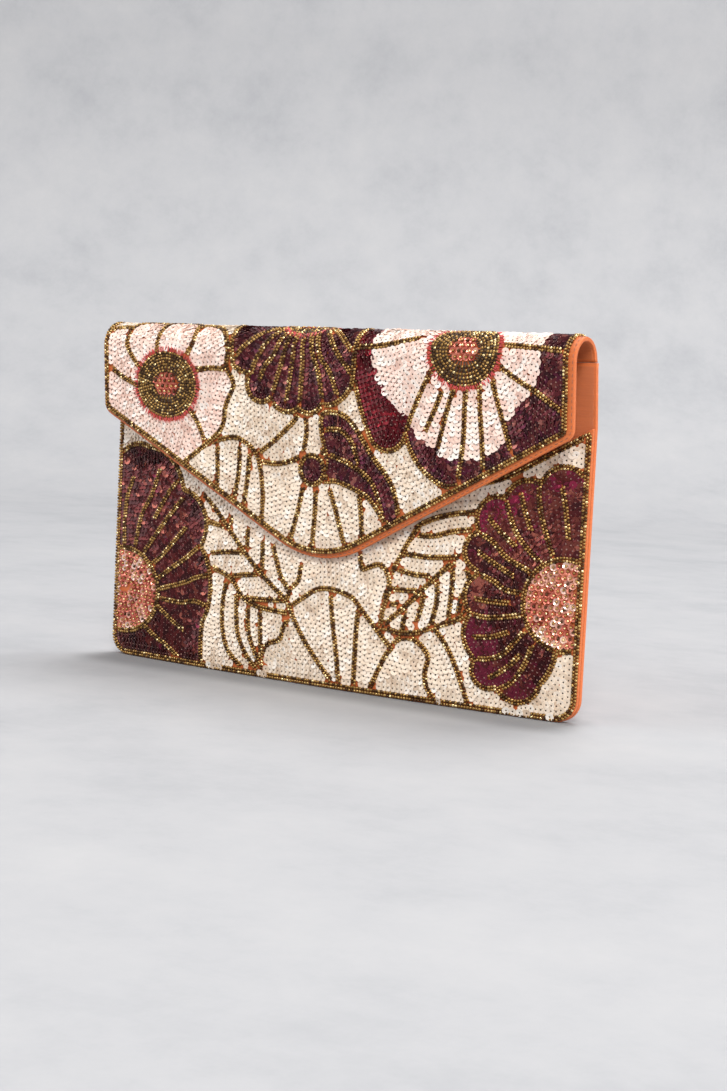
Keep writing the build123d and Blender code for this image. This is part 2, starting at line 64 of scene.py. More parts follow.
# ---- The frame's sizes, in millimetres ----
BACK_LOW, BACK_HIGH = (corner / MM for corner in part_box("back_outer_fabric"))
FLAP_LOW, FLAP_HIGH = (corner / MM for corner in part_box("flap_outer_fabric"))
FRONT_LOW, FRONT_HIGH = (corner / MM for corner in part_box("front_outer_fabric"))
HALF = BACK_HIGH.x
BACK_Y = BACK_HIGH.y
FRONT_TOP = FRONT_HIGH.z
FLAP_HALF = FLAP_HIGH.x
FLAP_TIP = FLAP_LOW.z
FOLD_Z = BACK_HIGH.z
FOLD_RADIUS = FLAP_HIGH.z - FOLD_Z
FOLD_Y = BACK_Y - FOLD_RADIUS
STACK = BACK_HIGH.y - BACK_LOW.y  # a panel without its embroidery
SEAM_Y = BACK_LOW.y
FRONT_MID_Y = FRONT_LOW.y  # outer face of the front's fabric half way across
FRONT_EDGE_Y = SEAM_Y - STACK
BOW = FRONT_EDGE_Y - FRONT_MID_Y
FRONT_RADIUS = (HALF**2 + BOW**2) / (2 * BOW)

LEAN = math.radians(4.85)  # of the flap's leg
LEG_TOP = FOLD_Z - FOLD_RADIUS * math.sin(LEAN)  # where the leg meets the fold
FOLD_END = LEG_TOP + FOLD_RADIUS * (math.pi + LEAN)  # h at the hinge
EMBROIDERY_END = FOLD_END - FOLD_RADIUS * math.radians(30)

BASE_CORNER_RADIUS = 10.0
FRONT_CORNER_RADIUS = 0.6
SCOOP_TOP = 98.0
SCOOP_SLOPE = 0.56
SCOOP_RADIUS = 50.0
FLAP_CORNER_HEIGHT = 118.6
FLAP_TIP_RADIUS = 47.0
FLAP_CORNER_RADIUS = 6.0
FLAP_BORDER = 2.0
FLAP_SHIFT = 0.9  # the flap's embroidery sits a little to the left on it
BACK_TOP_NARROWING = 1.5
FRONT_BORDER = 0.5

COVER = (0, 0.06 - STACK)  # rises of a covered panel's outer and inner face
LINING = (0.4 - STACK, -STACK)  # rises of a lining's two faces
LINING_MARGIN = 1.3  # from a panel's edge to its lining's
CREASE_GAP = 0.12  # of the back's and the flap's cloth from the hinge's line
STRIP_REACH = 5.1  # of the hinge's lining strip, each way
STRIP_HALF = FLAP_HALF - 12
STRIP_THICKNESS = 0.16
BASE_HALF = 119.5
BASE_GAP = 0.03  # between the base and each panel
POCKET_HALF = 55.0
POCKET_BOTTOM = 22.0
POCKET_TOP = 84.0
POCKET_STANDOFF = 0.3

BEAD_PITCH = 1.42  # along a row
BEAD_OFFSET = 0.68  # of each of a double row's two rows from its line
BEAD_BAND = 2.4  # width of a double row
BEAD_LIFT = 0.6  # of a bead's middle above the cloth
BEAD_SPACING = 1.12
ROW_STARTS = (0.3, 1.0)  # where a double row's two rows begin
STITCH_PITCH = 2.6
SEQUIN_ROW_COUNT = 14  # the most that a field needs beside one line
WIDE_ROWS = {"pitch": 2.3, "row": 2.3, "first": 2.7}  # the pale fields' sequins
CLOSE_ROWS = {"pitch": 2.0, "row": 2.1, "first": 2.15}  # the dark fields' sequins
ROW_SPACING = 0.86  # least distance between sequins in rows, as a share of their pitch
FILL_SPACING = 0.74  # the same for the single sequins that fill gaps
ROW_SLACK = 0.35  # how much closer than its own distance a row may come to a line
FILL_SLACK = 0.6  # the same for the single sequins
TRIES = 1.3  # places tried for single sequins, in each square millimetre
HEART_LIFT = 0.5
HEART_SPACING = 1.75  # of the petals' sequins from the heart's
CUP_PITCH, CUP_ROW, CUP_SPACING = 2.62, 2.5, 2.1  # of the front centres' cupped sequins
EYE_PITCH, EYE_ROW = 2.7, 2.4  # of the flap eyes' cupped sequins
SPOKE_PITCH = 1.35  # round a flap's ring
SPOKE_START = 0.8  # of the ring's beads from its eye
FRINGE_COUNT = 150  # threads round each ring


# ---- From a panel's flat drawing to the frame ----
def floats(*values):
    """The values as arrays of floats of one shape."""
    return np.broadcast_arrays(*(np.asarray(value, float) for value in values))


def unit(vectors):
    """The vectors at a length of 1."""
    return vectors / np.maximum(np.linalg.norm(vectors, axis=-1, keepdims=True), 1e-9)


def slack(x, h, top):
    """How far hand-covered card stands off its true shape, fading out towards a height."""
    waves = np.sin(x / 19 + 1.7 * np.sin(h / 29)) * np.cos(h / 17 - x / 47)
    return 0.2 * waves * np.clip((top - h) / 12, 0, 1) * np.clip((HALF - np.abs(x)) / 8, 0, 1)


def puckers(x, h, top):
    """Slight hollows in the back's cloth, fading out towards a height."""
    waves = np.sin(x / 17 + 1.3 * np.sin(h / 23)) * np.sin(h / 13 + 0.8 * np.sin(x / 31))
    return 0.12 * (waves - 1) * np.clip((top - h) / 12, 0, 1)


def front_surface(x, h, rise=0.0):
    """Points of the bowed front, raised from its fabric by rise towards the viewer."""
    x, h, rise = floats(x, h, rise)
    radius = FRONT_RADIUS + rise + slack(x, h, FRONT_TOP)
    angle = x / FRONT_RADIUS
    y = FRONT_MID_Y + FRONT_RADIUS - radius * np.cos(angle)
    return np.stack([radius * np.sin(angle), y, h], -1)


def flap_surface(x, h, rise=0.0):
    """Points of the flap: a leaning leg, then the fold, raised outwards from its fabric."""
    x, h, rise = floats(x, h, rise)
    along = np.clip(h - LEG_TOP, 0, None)
    angle = np.pi + LEAN - along / FOLD_RADIUS
    down = np.clip(LEG_TOP - h, 0, None) / math.cos(LEAN)
    radius = FOLD_RADIUS + rise + slack(x, h, LEG_TOP)
    y = FOLD_Y + radius * np.cos(angle) + down * math.sin(LEAN)
    z = FOLD_Z + radius * np.sin(angle) - down * math.cos(LEAN)
    return np.stack([x, y, z], -1)


def back_surface(x, h, rise=0.0):
    """Points of the flat back, raised outwards from its fabric."""
    x, h, rise = floats(x, h, rise)
    return np.stack([x, BACK_Y + rise, h], -1)


def base_surface(x, h, rise=0.0):
    """Points of the base, drawn as (across, towards the front). It turns up at the pouch's corners."""
    x, h, rise = floats(x, h, rise)
    past = np.clip(np.abs(x) - (HALF - BASE_CORNER_RADIUS), 0, None)
    corner = BASE_CORNER_RADIUS - np.sqrt(BASE_CORNER_RADIUS**2 - past**2)
    return np.stack([x, -h, corner - rise], -1)


def pocket_surface(x, h, rise=0.0):
    """The slip pocket lies on the back's lining. It stands off it except along its sewn sides."""
    x, h, rise = floats(x, h, rise)
    from_seam = np.minimum(POCKET_HALF - np.abs(x), h - POCKET_BOTTOM)
    share = np.clip(from_seam / 4, 0, 1)
    height = np.clip((h - POCKET_BOTTOM) / (POCKET_TOP - POCKET_BOTTOM), 0, 1)
    sag = 0.25 * height * np.cos(x / POCKET_HALF * 1.4)
    return np.stack([x, SEAM_Y - rise - share * (POCKET_STANDOFF + sag), h], -1)


def axes_on(surface, x, h):
    """Unit vectors across, up and outwards at points of a surface."""
    step = 0.05
    here = surface(x, h)
    across = unit(surface(x + step, h) - here)
    up = unit(surface(x, h + step) - here)
    return across, up, np.cross(across, up)


# ---- Lines and outlines in the flat drawing ----
def lengths_along(line):
    """The length of a line up to each of its points."""
    return np.concatenate([[0], np.cumsum(np.linalg.norm(np.diff(line, axis=0), axis=1))])


def places_at(line, at):
    """Places on a line, given as lengths along it."""
    lengths = lengths_along(line)
    return np.stack([np.interp(at, lengths, line[:, axis]) for axis in (0, 1)], -1)


def resample(line, step):
    """The line as evenly spaced points."""
    line = np.asarray(line, float)
    length = lengths_along(line)[-1]
    return places_at(line, np.linspace(0, length, max(2, int(round(length / step)) + 1)))


def smooth_line(points, step=0.4):
    """A curve through the points, as evenly spaced points."""
    p = np.array(points, float)
    if len(p) == 2:
        return resample(np.linspace(p[0], p[1], 50), step)
    ends = np.vstack([2 * p[0] - p[1], p, 2 * p[-1] - p[-2]])
    t = np.linspace(0, 1, 24, endpoint=False)[:, None]
    parts = []
    for a, b, c, d in zip(ends, ends[1:], ends[2:], ends[3:]):
        squared = (2 * a - 5 * b + 4 * c - d) * t**2
        cubed = (3 * b - a - 3 * c + d) * t**3
        parts.append(0.5 * (2 * b + (c - a) * t + squared + cubed))
    return resample(np.vstack(parts + [p[-1:]]), step)


def smooth_lines(lines):
    return [smooth_line(line) for line in lines]


def arc(start, middle, end, count=24):
    """The circle's arc through three points."""
    a, b, c = (np.array(p, float) for p in (start, middle, end))
    d = 2 * (a[0] * (b[1] - c[1]) + b[0] * (c[1] - a[1]) + c[0] * (a[1] - b[1]))
    sq = [p @ p for p in (a, b, c)]
    centre = np.array([
        (sq[0] * (b[1] - c[1]) + sq[1] * (c[1] - a[1]) + sq[2] * (a[1] - b[1])) / d,
        (sq[0] * (c[0] - b[0]) + sq[1] * (a[0] - c[0]) + sq[2] * (b[0] - a[0])) / d,
    ])
    angles = [math.atan2(*(p - centre)[::-1]) for p in (a, b, c)]
    turn = (angles[2] - angles[0]) % math.tau
    if (angles[1] - angles[0]) % math.tau > turn:
        turn -= math.tau
    t = angles[0] + np.linspace(0, turn, count)
    return centre + np.linalg.norm(a - centre) * np.stack([np.cos(t), np.sin(t)], -1)


def chain(petals):
    """The line along a chain of petal arcs."""
    return np.vstack([arc(*petal) for petal in petals])


def ellipse(shape, growth=0.0, count=96):
    """A closed line round a shape: its middle across and up, and its two half-widths."""
    across, up, half_width, half_height = shape
    t = np.linspace(0, math.tau, count)
    return np.stack([across + (half_width + growth) * np.cos(t), up + (half_height + growth) * np.sin(t)], -1)


def closed(outline):
    return np.vstack([outline, outline[:1]])


def left_of(directions):
    """Directions turned a quarter turn to the left."""
    return np.stack([-directions[:, 1], directions[:, 0]], -1)


def beside(line, distance):
    """A line's copy at a distance to its left."""
    return line + distance * left_of(unit(np.gradient(line, axis=0)))


def rounded(points, radii, count=14):
    """A closed outline with its corners rounded, anticlockwise."""
    corners = np.array(points, float)
    out = []
    for here, before, after, radius in zip(corners, np.roll(corners, 1, 0), np.roll(corners, -1, 0), radii):
        if not radius:
            out.append(here[None])
            continue
        u, v = unit(before - here), unit(after - here)
        half = math.acos(np.clip(u @ v, -1, 1)) / 2
        reach = radius / math.tan(half)
        centre = here + unit(u + v) * radius / math.sin(half)
        out.append(arc(here + u * reach, centre + unit(here - centre) * radius, here + v * reach, count))
    return np.vstack(out)


def inset(outline, distance):
    """A smooth closed outline moved inwards."""
    before = unit(outline - np.roll(outline, 1, 0))
    after = unit(np.roll(outline, -1, 0) - outline)
    bend = np.clip((before * after).sum(1), -0.5, 1)
    return outline + unit(left_of(before + after)) * (distance / np.sqrt((1 + bend) / 2))[:, None]


def search_tree(places):
    """A tree that finds the nearest of some flat places."""
    tree = KDTree(len(places))
    for number, (x, h) in enumerate(places):
        tree.insert((x, h, 0), number)
    tree.balance()
    return tree


def inner_line(outline, distance):
    """A closed line that runs inside an outline, without the spikes that a tight corner leaves."""
    line = inset(outline, distance)
    edge = search_tree(resample(closed(outline), 0.25))
    away = np.array([edge.find((x, h, 0))[2] for x, h in line])
    return closed(line[away > 0.95 * distance])


def dense(outline, step=2.0):
    """A closed outline with extra points on its long straight stretches."""
    out = []
    for a, b in zip(outline, np.roll(outline, -1, 0)):
        count = max(1, int(np.linalg.norm(b - a) / step))
        out.append(a + (b - a) * np.linspace(0, 1, count, endpoint=False)[:, None])
    line = np.vstack(out)
    return line[np.linalg.norm(line - np.roll(line, 1, 0), axis=1) > 0.05]


def inside(places, polygon):
    """True for each place inside a closed polygon."""
    x, h = places[..., 0], places[..., 1]
    found = np.zeros(x.shape, bool)
    for (ax, ah), (bx, bh) in zip(polygon, np.roll(polygon, -1, 0)):
        if ah != bh:
            found ^= ((ah > h) != (bh > h)) & (x < (bx - ax) * (h - ah) / (bh - ah) + ax)
    return found


# Tests of places. Each takes places and gives true or false for each.
def within(polygon):
    return lambda places: inside(places, polygon)


def outside(*polygons):
    return lambda places: ~np.any([inside(places, polygon) for polygon in polygons], axis=0)


def all_of(*tests):
    return lambda places: np.all([test(places) for test in tests], axis=0)


def anywhere(places):
    return np.ones(len(places), bool)


def front_outline():
    scoop_x = HALF - (FRONT_TOP - SCOOP_TOP) / SCOOP_SLOPE
    points = [(-HALF, 0), (HALF, 0), (HALF, FRONT_TOP), (scoop_x, SCOOP_TOP), (-scoop_x, SCOOP_TOP),
              (-HALF, FRONT_TOP)]
    radii = [BASE_CORNER_RADIUS] * 2 + [FRONT_CORNER_RADIUS, SCOOP_RADIUS, SCOOP_RADIUS, FRONT_CORNER_RADIUS]
    return dense(rounded(points, radii))


def flap_outline(top):
    """The flap's outline up to h = top. Its lower edges touch the round tip."""
    drop = FLAP_CORNER_HEIGHT - FLAP_TIP_RADIUS - FLAP_TIP
    spread = FLAP_HALF**2 - FLAP_TIP_RADIUS**2
    root = math.sqrt((FLAP_HALF * drop) ** 2 - spread * (drop**2 - FLAP_TIP_RADIUS**2))
    slope = (FLAP_HALF * drop + root) / spread
    points = [(0, FLAP_CORNER_HEIGHT - slope * FLAP_HALF), (FLAP_HALF, FLAP_CORNER_HEIGHT), (FLAP_HALF, top),
              (-FLAP_HALF, top), (-FLAP_HALF, FLAP_CORNER_HEIGHT)]
    return dense(rounded(points, [FLAP_TIP_RADIUS, FLAP_CORNER_RADIUS, 0, 0, FLAP_CORNER_RADIUS]))


def back_outline(top):
    narrow = HALF - BACK_TOP_NARROWING
    points = [(-HALF, 0), (HALF, 0), (HALF, FRONT_TOP), (narrow, top), (-narrow, top), (-HALF, FRONT_TOP)]
    return dense(rounded(points, [BASE_CORNER_RADIUS] * 2 + [0] * 4))


def base_outline():
    """The lens between the front and the back."""
    x = np.linspace(-BASE_HALF, BASE_HALF, 121)
    front_edge = front_surface(x, 0 * x, -STACK)[:, 1] + BASE_GAP
    back_edge = np.full(len(x), SEAM_Y - BASE_GAP)
    return np.vstack([np.stack([x, -back_edge], -1), np.stack([x, -front_edge], -1)[::-1]])


def pocket_outline():
    points = [(-POCKET_HALF, POCKET_BOTTOM), (POCKET_HALF, POCKET_BOTTOM), (POCKET_HALF, POCKET_TOP),
              (-POCKET_HALF, POCKET_TOP)]
    return dense(rounded(points, [3, 3, 0.5, 0.5]))


# ---- The embroidery's drawing: (across, up) in millimetres ----
RIGHT_FLOWER = [
    [(128, 98), (116, 107.5), (105, 100)],
    [(105, 100), (97, 100.5), (89, 93)],
    [(89, 93), (78, 89), (77, 77)],
    [(77, 77), (70.5, 68), (77.5, 59)],
    [(77.5, 59), (71.5, 48), (74.5, 41.5)],
    [(74.5, 41.5), (72, 31.5), (77.5, 22)],
    [(77.5, 22), (80, 11), (89.5, 10)],
    [(89.5, 10), (100.5, 5), (111, 14.5)],
    [(111, 14.5), (115.5, 21.5), (117.5, 30)],
]
RIGHT_FLOWER_CLOSE = [(128, 34)]
RIGHT_CENTRE = (119, 49, 17.5, 18)  # across, up, and the two half-widths of an ellipse
LEFT_FLOWER = [
    [(-130, 88), (-120, 102.5), (-106, 103)],
    [(-106, 103), (-91, 98), (-82, 84)],
    [(-82, 84), (-69, 75), (-69.5, 57.5)],
    [(-69.5, 57.5), (-62.5, 38), (-67, 21)],
    [(-67, 21), (-67.5, 12), (-66.5, 0)],
]
LEFT_FLOWER_CLOSE = [(-130, 0)]
LEFT_CENTRE = (-120, 32, 21.5, 19)

RIGHT_FLOWER_VEINS = [
    [(115, 98), (117, 89), (119, 76.5)],
    [(104.5, 99), (105.5, 89), (109, 77.5), (113, 68)],
    [(96.5, 94), (99, 86.5), (102, 79)],
    [(89, 93), (94.5, 79), (100.5, 71.5), (109.5, 64)],
    [(82, 83), (88, 77.5), (95.5, 71.5)],
    [(77, 76.5), (84.5, 73), (92, 66.5), (107, 60)],
    [(78, 68), (85.5, 64), (95.5, 59)],
    [(77, 59), (85.5, 56.5), (92, 53), (101, 52.5)],
    [(77.5, 48), (84.5, 47.5), (94, 47.5)],
    [(74.5, 41.5), (83, 40.5), (91.5, 41.5), (101, 43.5)],
    [(78, 31.5), (86.5, 32.5), (94.5, 35.5)],
    [(78, 22.5), (85.5, 23), (93, 26.5), (101.5, 36.5)],
    [(86.5, 15), (94, 20), (100.5, 26.5)],
    [(89.5, 10), (96.5, 14), (102, 21.5), (105.5, 31)],
]
LEFT_FLOWER_VEINS = [
    [(-116, 87), (-119.5, 78), (-121, 65.5), (-120.5, 53)],
    [(-98.5, 92), (-103.5, 79), (-109.5, 69), (-113.5, 53)],
    [(-87, 87), (-93.5, 79.5), (-101, 68)],
    [(-83, 79), (-92, 69.5), (-100.5, 59.5), (-109, 49)],
    [(-80.5, 65.5), (-87, 59), (-94.5, 51.5), (-102, 45.5)],
    [(-72, 57), (-80.5, 50.5), (-88.5, 45.5), (-98, 39)],
    [(-65.5, 44), (-73.5, 42), (-80.5, 39), (-98, 34)],
    [(-66, 29.5), (-73.5, 31), (-82, 29.5), (-98, 30)],
    [(-79.5, 16.5), (-86, 19.5), (-98, 26.5)],
    [(-82, 3), (-90.5, 8), (-98.5, 11.5), (-107, 16.5)],
]

# Double rows of beads on the front's ivory ground. The snap's place is left clear.
SNAP_CLEARING = (0, 72, 8.5, 8.5)
LEFT_LEAF = [
    [(-70.5, 81.5), (-63, 75.5), (-44.5, 57), (-35.5, 49), (-25.5, 41.5), (-18.5, 37)],
    [(-18.5, 37), (-15.5, 30.5), (-8.5, 20.5), (0.5, 10.5), (8, 3.5)],
    [(-67, 69), (-56, 67), (-48.5, 60.5), (-44.5, 57)],
    [(-64.5, 54.5), (-55.5, 56), (-44.5, 56.5)],
    [(-63, 48), (-52, 44), (-43.5, 35.5), (-34.5, 32.5), (-20.5, 31.5), (-17, 32)],
    [(-52, 45), (-43, 46.5), (-34.5, 47.5)],
    [(-44.5, 36), (-34.5, 36), (-18.5, 37)],
    [(-54.5, 42), (-56, 31.5), (-55.5, 20.5), (-52, 10.5), (-43.5, 3.5)],
    [(-48, 37), (-47.5, 27), (-46, 18), (-41, 9.5), (-34.5, 3.5)],
    [(-41, 31.5), (-40.5, 23), (-38.5, 16.5), (-32.5, 4)],
    [(-34, 30.5), (-32.5, 12), (-32, 3)],
    [(-32, 6.5), (-31, 13), (-28, 16.5), (-22, 19), (-20.5, 24), (-18, 28.5)],
    [(-53.5, 73), (-53, 69)],
    [(-43, 68), (-43, 58)],
    [(-34, 63), (-33.5, 49)],
    [(-28, 61.5), (-26, 55.5), (-23.5, 49), (-18.5, 42)],
    [(-12, 54), (-13, 47), (-18, 41.5), (-18.5, 36.5)],
]
MIDDLE_FAN = [
    [(-17, 34.5), (-10.5, 39), (-2, 44), (7, 44.5), (16.5, 42), (22, 37), (34, 25.5), (38, 22)],
    [(5, 42), (7, 29), (9.5, 16.5), (11.5, 3.5)],
    [(20, 37), (19.5, 27), (19.5, 4)],
    [(38, 22), (34.5, 17), (28, 3)],
    [(19.5, 61.5), (21, 55.5), (24.5, 56.5), (30.5, 58), (34.5, 54), (35.5, 47), (33, 39.5), (32, 31.5)],
]
RIGHT_LEAF = [
    [(49.5, 77.5), (44.5, 70), (36.5, 55), (34.5, 47.5), (32, 38), (33, 29)],
    [(48, 76.5), (55.5, 80), (65.5, 83), (75.5, 84.5)],
    [(48, 72.5), (57, 73), (65.5, 75.5), (76.5, 77.5)],
    [(42, 64), (53, 63.5), (61.5, 64), (69.5, 65)],
    [(39, 57), (47, 55.5), (55.5, 55.5)],
    [(34.5, 48), (42, 48), (49.5, 48.5)],
    [(34, 41.5), (40.5, 41.5)],
    [(67, 63), (55.5, 52.5), (44.5, 41.5), (33, 31.5)],
    [(66.5, 61.5), (66.5, 51.5), (65.5, 38)],
    [(59, 55), (59.5, 45), (57, 34)],
    [(53, 47.5), (52, 41.5), (50, 35)],
    [(44, 39), (43, 30.5)],
    [(33, 31.5), (39, 29.5), (49, 30), (57, 33), (69.5, 38), (74.5, 42.5)],
    [(73, 60.5), (74.5, 55.5), (72, 51.5), (69.5, 38)],
    [(59, 33), (64, 27.5), (69.5, 19), (77, 2.5)],
    [(38, 23), (41.5, 26.5), (47, 27.5), (52, 25.5), (56.5, 20.5), (55.5, 14), (56.5, 7.5), (61.5, 1.5)],
]

# The flap. Above the leg its flowers run on over the fold.
BLUSH_FLOWER = [(-50, 148), (-51, 141), (-47, 133.5), (-51.5, 124), (-54, 113.5), (-64, 105),
                (-78, 95.5)]
BLUSH_FLOWER_CLOSE = [(-128, 80), (-128, 149)]
BLUSH_TOP = [
    [(-126, 149), (-118, 158), (-109.5, 158)],
    [(-109.5, 158), (-101, 165.5), (-91, 161.5)],
    [(-91, 161.5), (-81, 167), (-71, 160.5)],
    [(-71, 160.5), (-57, 159.5), (-50, 148)],
]
BLUSH_LINES = [
    [(-119, 138.5), (-112.5, 134.5), (-102.5, 130.5)],
    [(-109.5, 157), (-110, 150.5), (-107.5, 145.5), (-102.5, 139.5)],
    [(-91, 161), (-91.5, 152), (-91.5, 146)],
    [(-71, 160), (-70.5, 152), (-74, 146)],
    [(-68.5, 139.5), (-59, 140.5), (-50.5, 140)],
    [(-72.5, 121), (-68.5, 116), (-65, 109.5), (-64, 105.5)],
]
BLUSH_RING = (-86, 132, 17.5, 15.5)
BLUSH_EYE = (-86, 132.5, 7, 5)
FOLD_FLOWER = [
    [(-49.5, 176), (-48.5, 158), (-47, 142)],
    [(-47, 142), (-41, 139.5), (-37.5, 139)],
    [(-37.5, 139), (-34.5, 127), (-26, 128.5)],
    [(-26, 128.5), (-18, 122.5), (-11, 124.5)],
    [(-11, 124.5), (-4, 122.5), (1.5, 126.5)],
    [(1.5, 126.5), (11, 128.5), (18, 137)],
    [(18, 137), (19.5, 156), (19.5, 176)],
]
FOLD_LINES = [
    [(-23, 163), (-33, 157), (-43, 149), (-47, 145)],
    [(-22, 161), (-31, 149.5), (-35, 143.5), (-36.5, 139.5)],
    [(-19, 159.5), (-24, 148), (-28.5, 143), (-32.5, 136)],
    [(-16, 158.5), (-18.5, 148.5), (-21, 141), (-25, 131)],
    [(-13, 158), (-13.5, 148), (-15, 139.5), (-17.5, 127)],
    [(-9.5, 158), (-8.5, 149.5), (-8.5, 143.5), (-10, 127)],
    [(-6, 158.5), (-2.5, 147), (0, 140.5), (2, 129)],
    [(-3, 160), (1.5, 147), (6, 141), (10, 131)],
    [(0, 162), (11, 148), (15, 143.5), (18, 139)],
    [(1, 164), (9, 158), (18, 150)],
]
RIGHT_FLAP_FLOWER = [
    [(19.5, 176), (18.5, 142), (26.5, 115.5)],
    [(26.5, 115.5), (34, 108.5), (45.5, 116)],
    [(45.5, 116), (51, 104.5), (60, 97)],
    [(60, 97), (66, 95), (72, 96)],
]
RIGHT_FLAP_FLOWER_CLOSE = [(95, 80), (128, 100), (128, 176)]
RIGHT_FLAP_PETAL = [
    [(18.5, 142), (19.5, 127), (26.5, 115.5)],
    [(26.5, 115.5), (34, 108.5), (45.5, 116)],
    [(45.5, 116), (52.5, 133), (60, 146)],
]
RIGHT_FLAP_PETAL_CLOSE = [(62, 176), (19, 176)]
HEART = [
    [(37, 176), (31, 140), (47.5, 123)],
    [(47.5, 123), (54, 114), (64, 108.5)],
    [(64, 108.5), (78, 107.5), (92.5, 116)],
    [(92.5, 116), (97, 128), (106.5, 135.5)],
    [(106.5, 135.5), (109, 155), (108, 176)],
]
RIGHT_FLAP_LINES = [
    [(63.5, 135), (60, 127), (55.5, 118)],
    [(69, 136), (66.5, 128.5), (61.5, 111)],
    [(75, 136), (74.5, 127), (74, 114.5), (71.5, 98.5)],
    [(81.5, 138.5), (82, 127), (83, 114.5), (83.5, 103)],
    [(87.5, 140.5), (90, 132), (96.5, 112)],
    [(91, 146), (100, 140.5), (108.5, 136), (121, 128)],
    [(45.5, 116), (52.5, 133), (58.5, 145)],
    [(20, 152), (33, 153), (50, 157)],
    [(92, 155), (107, 154), (122, 153)],
]
RIGHT_FLAP_RING = (73.5, 152, 16.5, 15)
RIGHT_FLAP_EYE = (73.5, 153, 7, 5)
FOLD_RING = (-11, 167.5, 13, 10)
FOLD_EYE = (-11, 167.5, 7, 5)
BUD = (-3.5, 97.5, 7, 7)
LEAF = [
    (3.5, 93), (4, 104), (1.5, 115), (2.5, 122.5), (11.5, 123), (18.5, 118.5), (28.5, 105.5), (38.5, 93.5),
    (41.5, 79.5), (36, 77), (33.5, 79), (29, 84.5), (24, 88.5), (11, 93),
]
LEAF_LINES = [
    [(1, 106), (10, 103.5), (17.5, 101), (28.5, 93.5), (34, 79)],
    [(1.5, 115.5), (6.5, 116), (12.5, 115.5), (17.5, 111), (21.5, 102)],
]
FLAP_GROUND_LINES = [
    [(-64, 105.5), (-60, 106.5), (-51.5, 109), (-43.5, 109), (-34, 102), (-31, 87), (-31.5, 73.5)],
    [(-56.5, 105), (-56.5, 94.5), (-57, 86)],
    [(-43.5, 106), (-44.5, 93.5), (-47.5, 81)],
    [(-38, 103), (-40, 88.5), (-42, 78.5)],
    [(-32.5, 103.5), (-24, 109.5), (-15, 117), (-10, 122)],
    [(-32.5, 99.5), (-23.5, 99), (-16, 100.5), (-10, 103)],
    [(-7, 121), (-6.5, 114.5), (-8, 105.5)],
    [(-10, 123.5), (2.5, 123)],
    [(-8.5, 89.5), (-11, 79.5), (-15.5, 66)],
    [(-1.5, 88.5), (-2, 78.5), (-4, 62)],
    [(6, 89.5), (9, 81), (13.5, 65.5)],
    [(21.5, 88.5), (22.5, 80.5), (23, 69.5)],
]


# ---- Meshes ----
def linked(name, data):
    """A new object of some data, in the scene."""
    thing = bpy.data.objects.new(name, data)
    bpy.context.scene.collection.objects.link(thing)
    return thing


def placed(thing, body, slot, *nodes):
    """Attaches a piece to the body it rides on and hides the nodes that it stands for. Its material slot is
    not used.
    """
    if nodes:
        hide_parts(*nodes)
    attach(thing, body)
    return thing


def mesh_object(name, points, faces, material):
    """An object from points in millimetres and lists of faces."""
    mesh = bpy.data.meshes.new(name)
    mesh.from_pydata((np.asarray(points) * MM).tolist(), [], [list(map(int, face)) for face in faces])
    mesh.materials.append(material)
    mesh.validate()
    mesh.shade_smooth()
    mesh.update()
    return linked(name, mesh)


def tube_faces(rings):
    """The faces between neighbouring rings of point numbers."""
    faces = []
    for ring, after in zip(rings, rings[1:]):
        ring_next, after_next = np.roll(ring, -1), np.roll(after, -1)
        faces += np.stack([ring_next, ring, after, after_next], -1).tolist()
    return faces


def copies_mesh(name, template, centres, frames, shades, materials, smooth):
    """A mesh of many copies of a small template: points, triangles and a material for each triangle.

    A material of -1 is the copy's own shade.
    """
    points, triangles, slots = template
    count, size = len(centres), len(points)
    all_points = centres[:, None, :] + np.einsum("pk,ckj->cpj", points, frames)
    corners = (triangles[None] + size * np.arange(count)[:, None, None]).ravel()
    face_slots = np.where(slots[None] < 0, np.asarray(shades)[:, None], slots[None])
    mesh = bpy.data.meshes.new(name)
    mesh.vertices.add(count * size)
    mesh.vertices.foreach_set("co", (all_points * MM).ravel())
    mesh.loops.add(len(corners))
    mesh.loops.foreach_set("vertex_index", corners.astype(np.int32))
    total = len(corners) // 3
    mesh.polygons.add(total)
    mesh.polygons.foreach_set("loop_start", np.arange(total, dtype=np.int32) * 3)
    for material in materials:
        mesh.materials.append(material)
    mesh.polygons.foreach_set("material_index", face_slots.ravel().astype(np.int32))
    mesh.polygons.foreach_set("use_smooth", np.full(total, smooth))
    mesh.update(calc_edges=True)
    return mesh


def lathe(profile, sides, cap_slot=-1, lying=False):
    """A template turned round the local z axis from (radius, height) pairs, top first.

    cap_slot is the material of a cap that closes the lower end. A lying template is turned
    round the local x axis instead.
    """
    points, rings, triangles, slots = [], [], [], []
    for radius, height in profile:
        turn = np.arange(sides if radius else 1) / sides * math.tau
        rings.append(len(points) + np.arange(len(turn)))
        around = [radius * np.cos(turn), radius * np.sin(turn), np.full(len(turn), height)]
        points += np.stack(around, -1).tolist()
    for upper, lower in zip(rings, rings[1:]):
        for i in range(sides):
            a, b = upper[i % len(upper)], upper[(i + 1) % len(upper)]
            c, d = lower[i % len(lower)], lower[(i + 1) % len(lower)]
            if a != b:
                triangles.append([a, c, b])
                slots.append(cap_slot if c == d else -1)
            if c != d:
                triangles.append([b, c, d])
                slots.append(-1)
    order = [2, 0, 1] if lying else [0, 1, 2]
    return np.array(points)[:, order], np.array(triangles), np.array(slots)


# A sequin is a faceted cup with a coloured hole: dark for its thread and painted shade in the hole, pale on
# the dark sequins for a painted highlight. Its skirt gives it an edge.
HOLE_SLOT = 0
SEQUIN = lathe([(1.8, 0.02), (1.84, 0.2), (1.1, 0.14), (0.38, 0.02), (0, -0.24)], 8, HOLE_SLOT)
CUP = lathe([(1.5, 0.55), (1.58, 0.72), (0.95, 0.34), (0.45, 0.08), (0, 0.02)], 10)
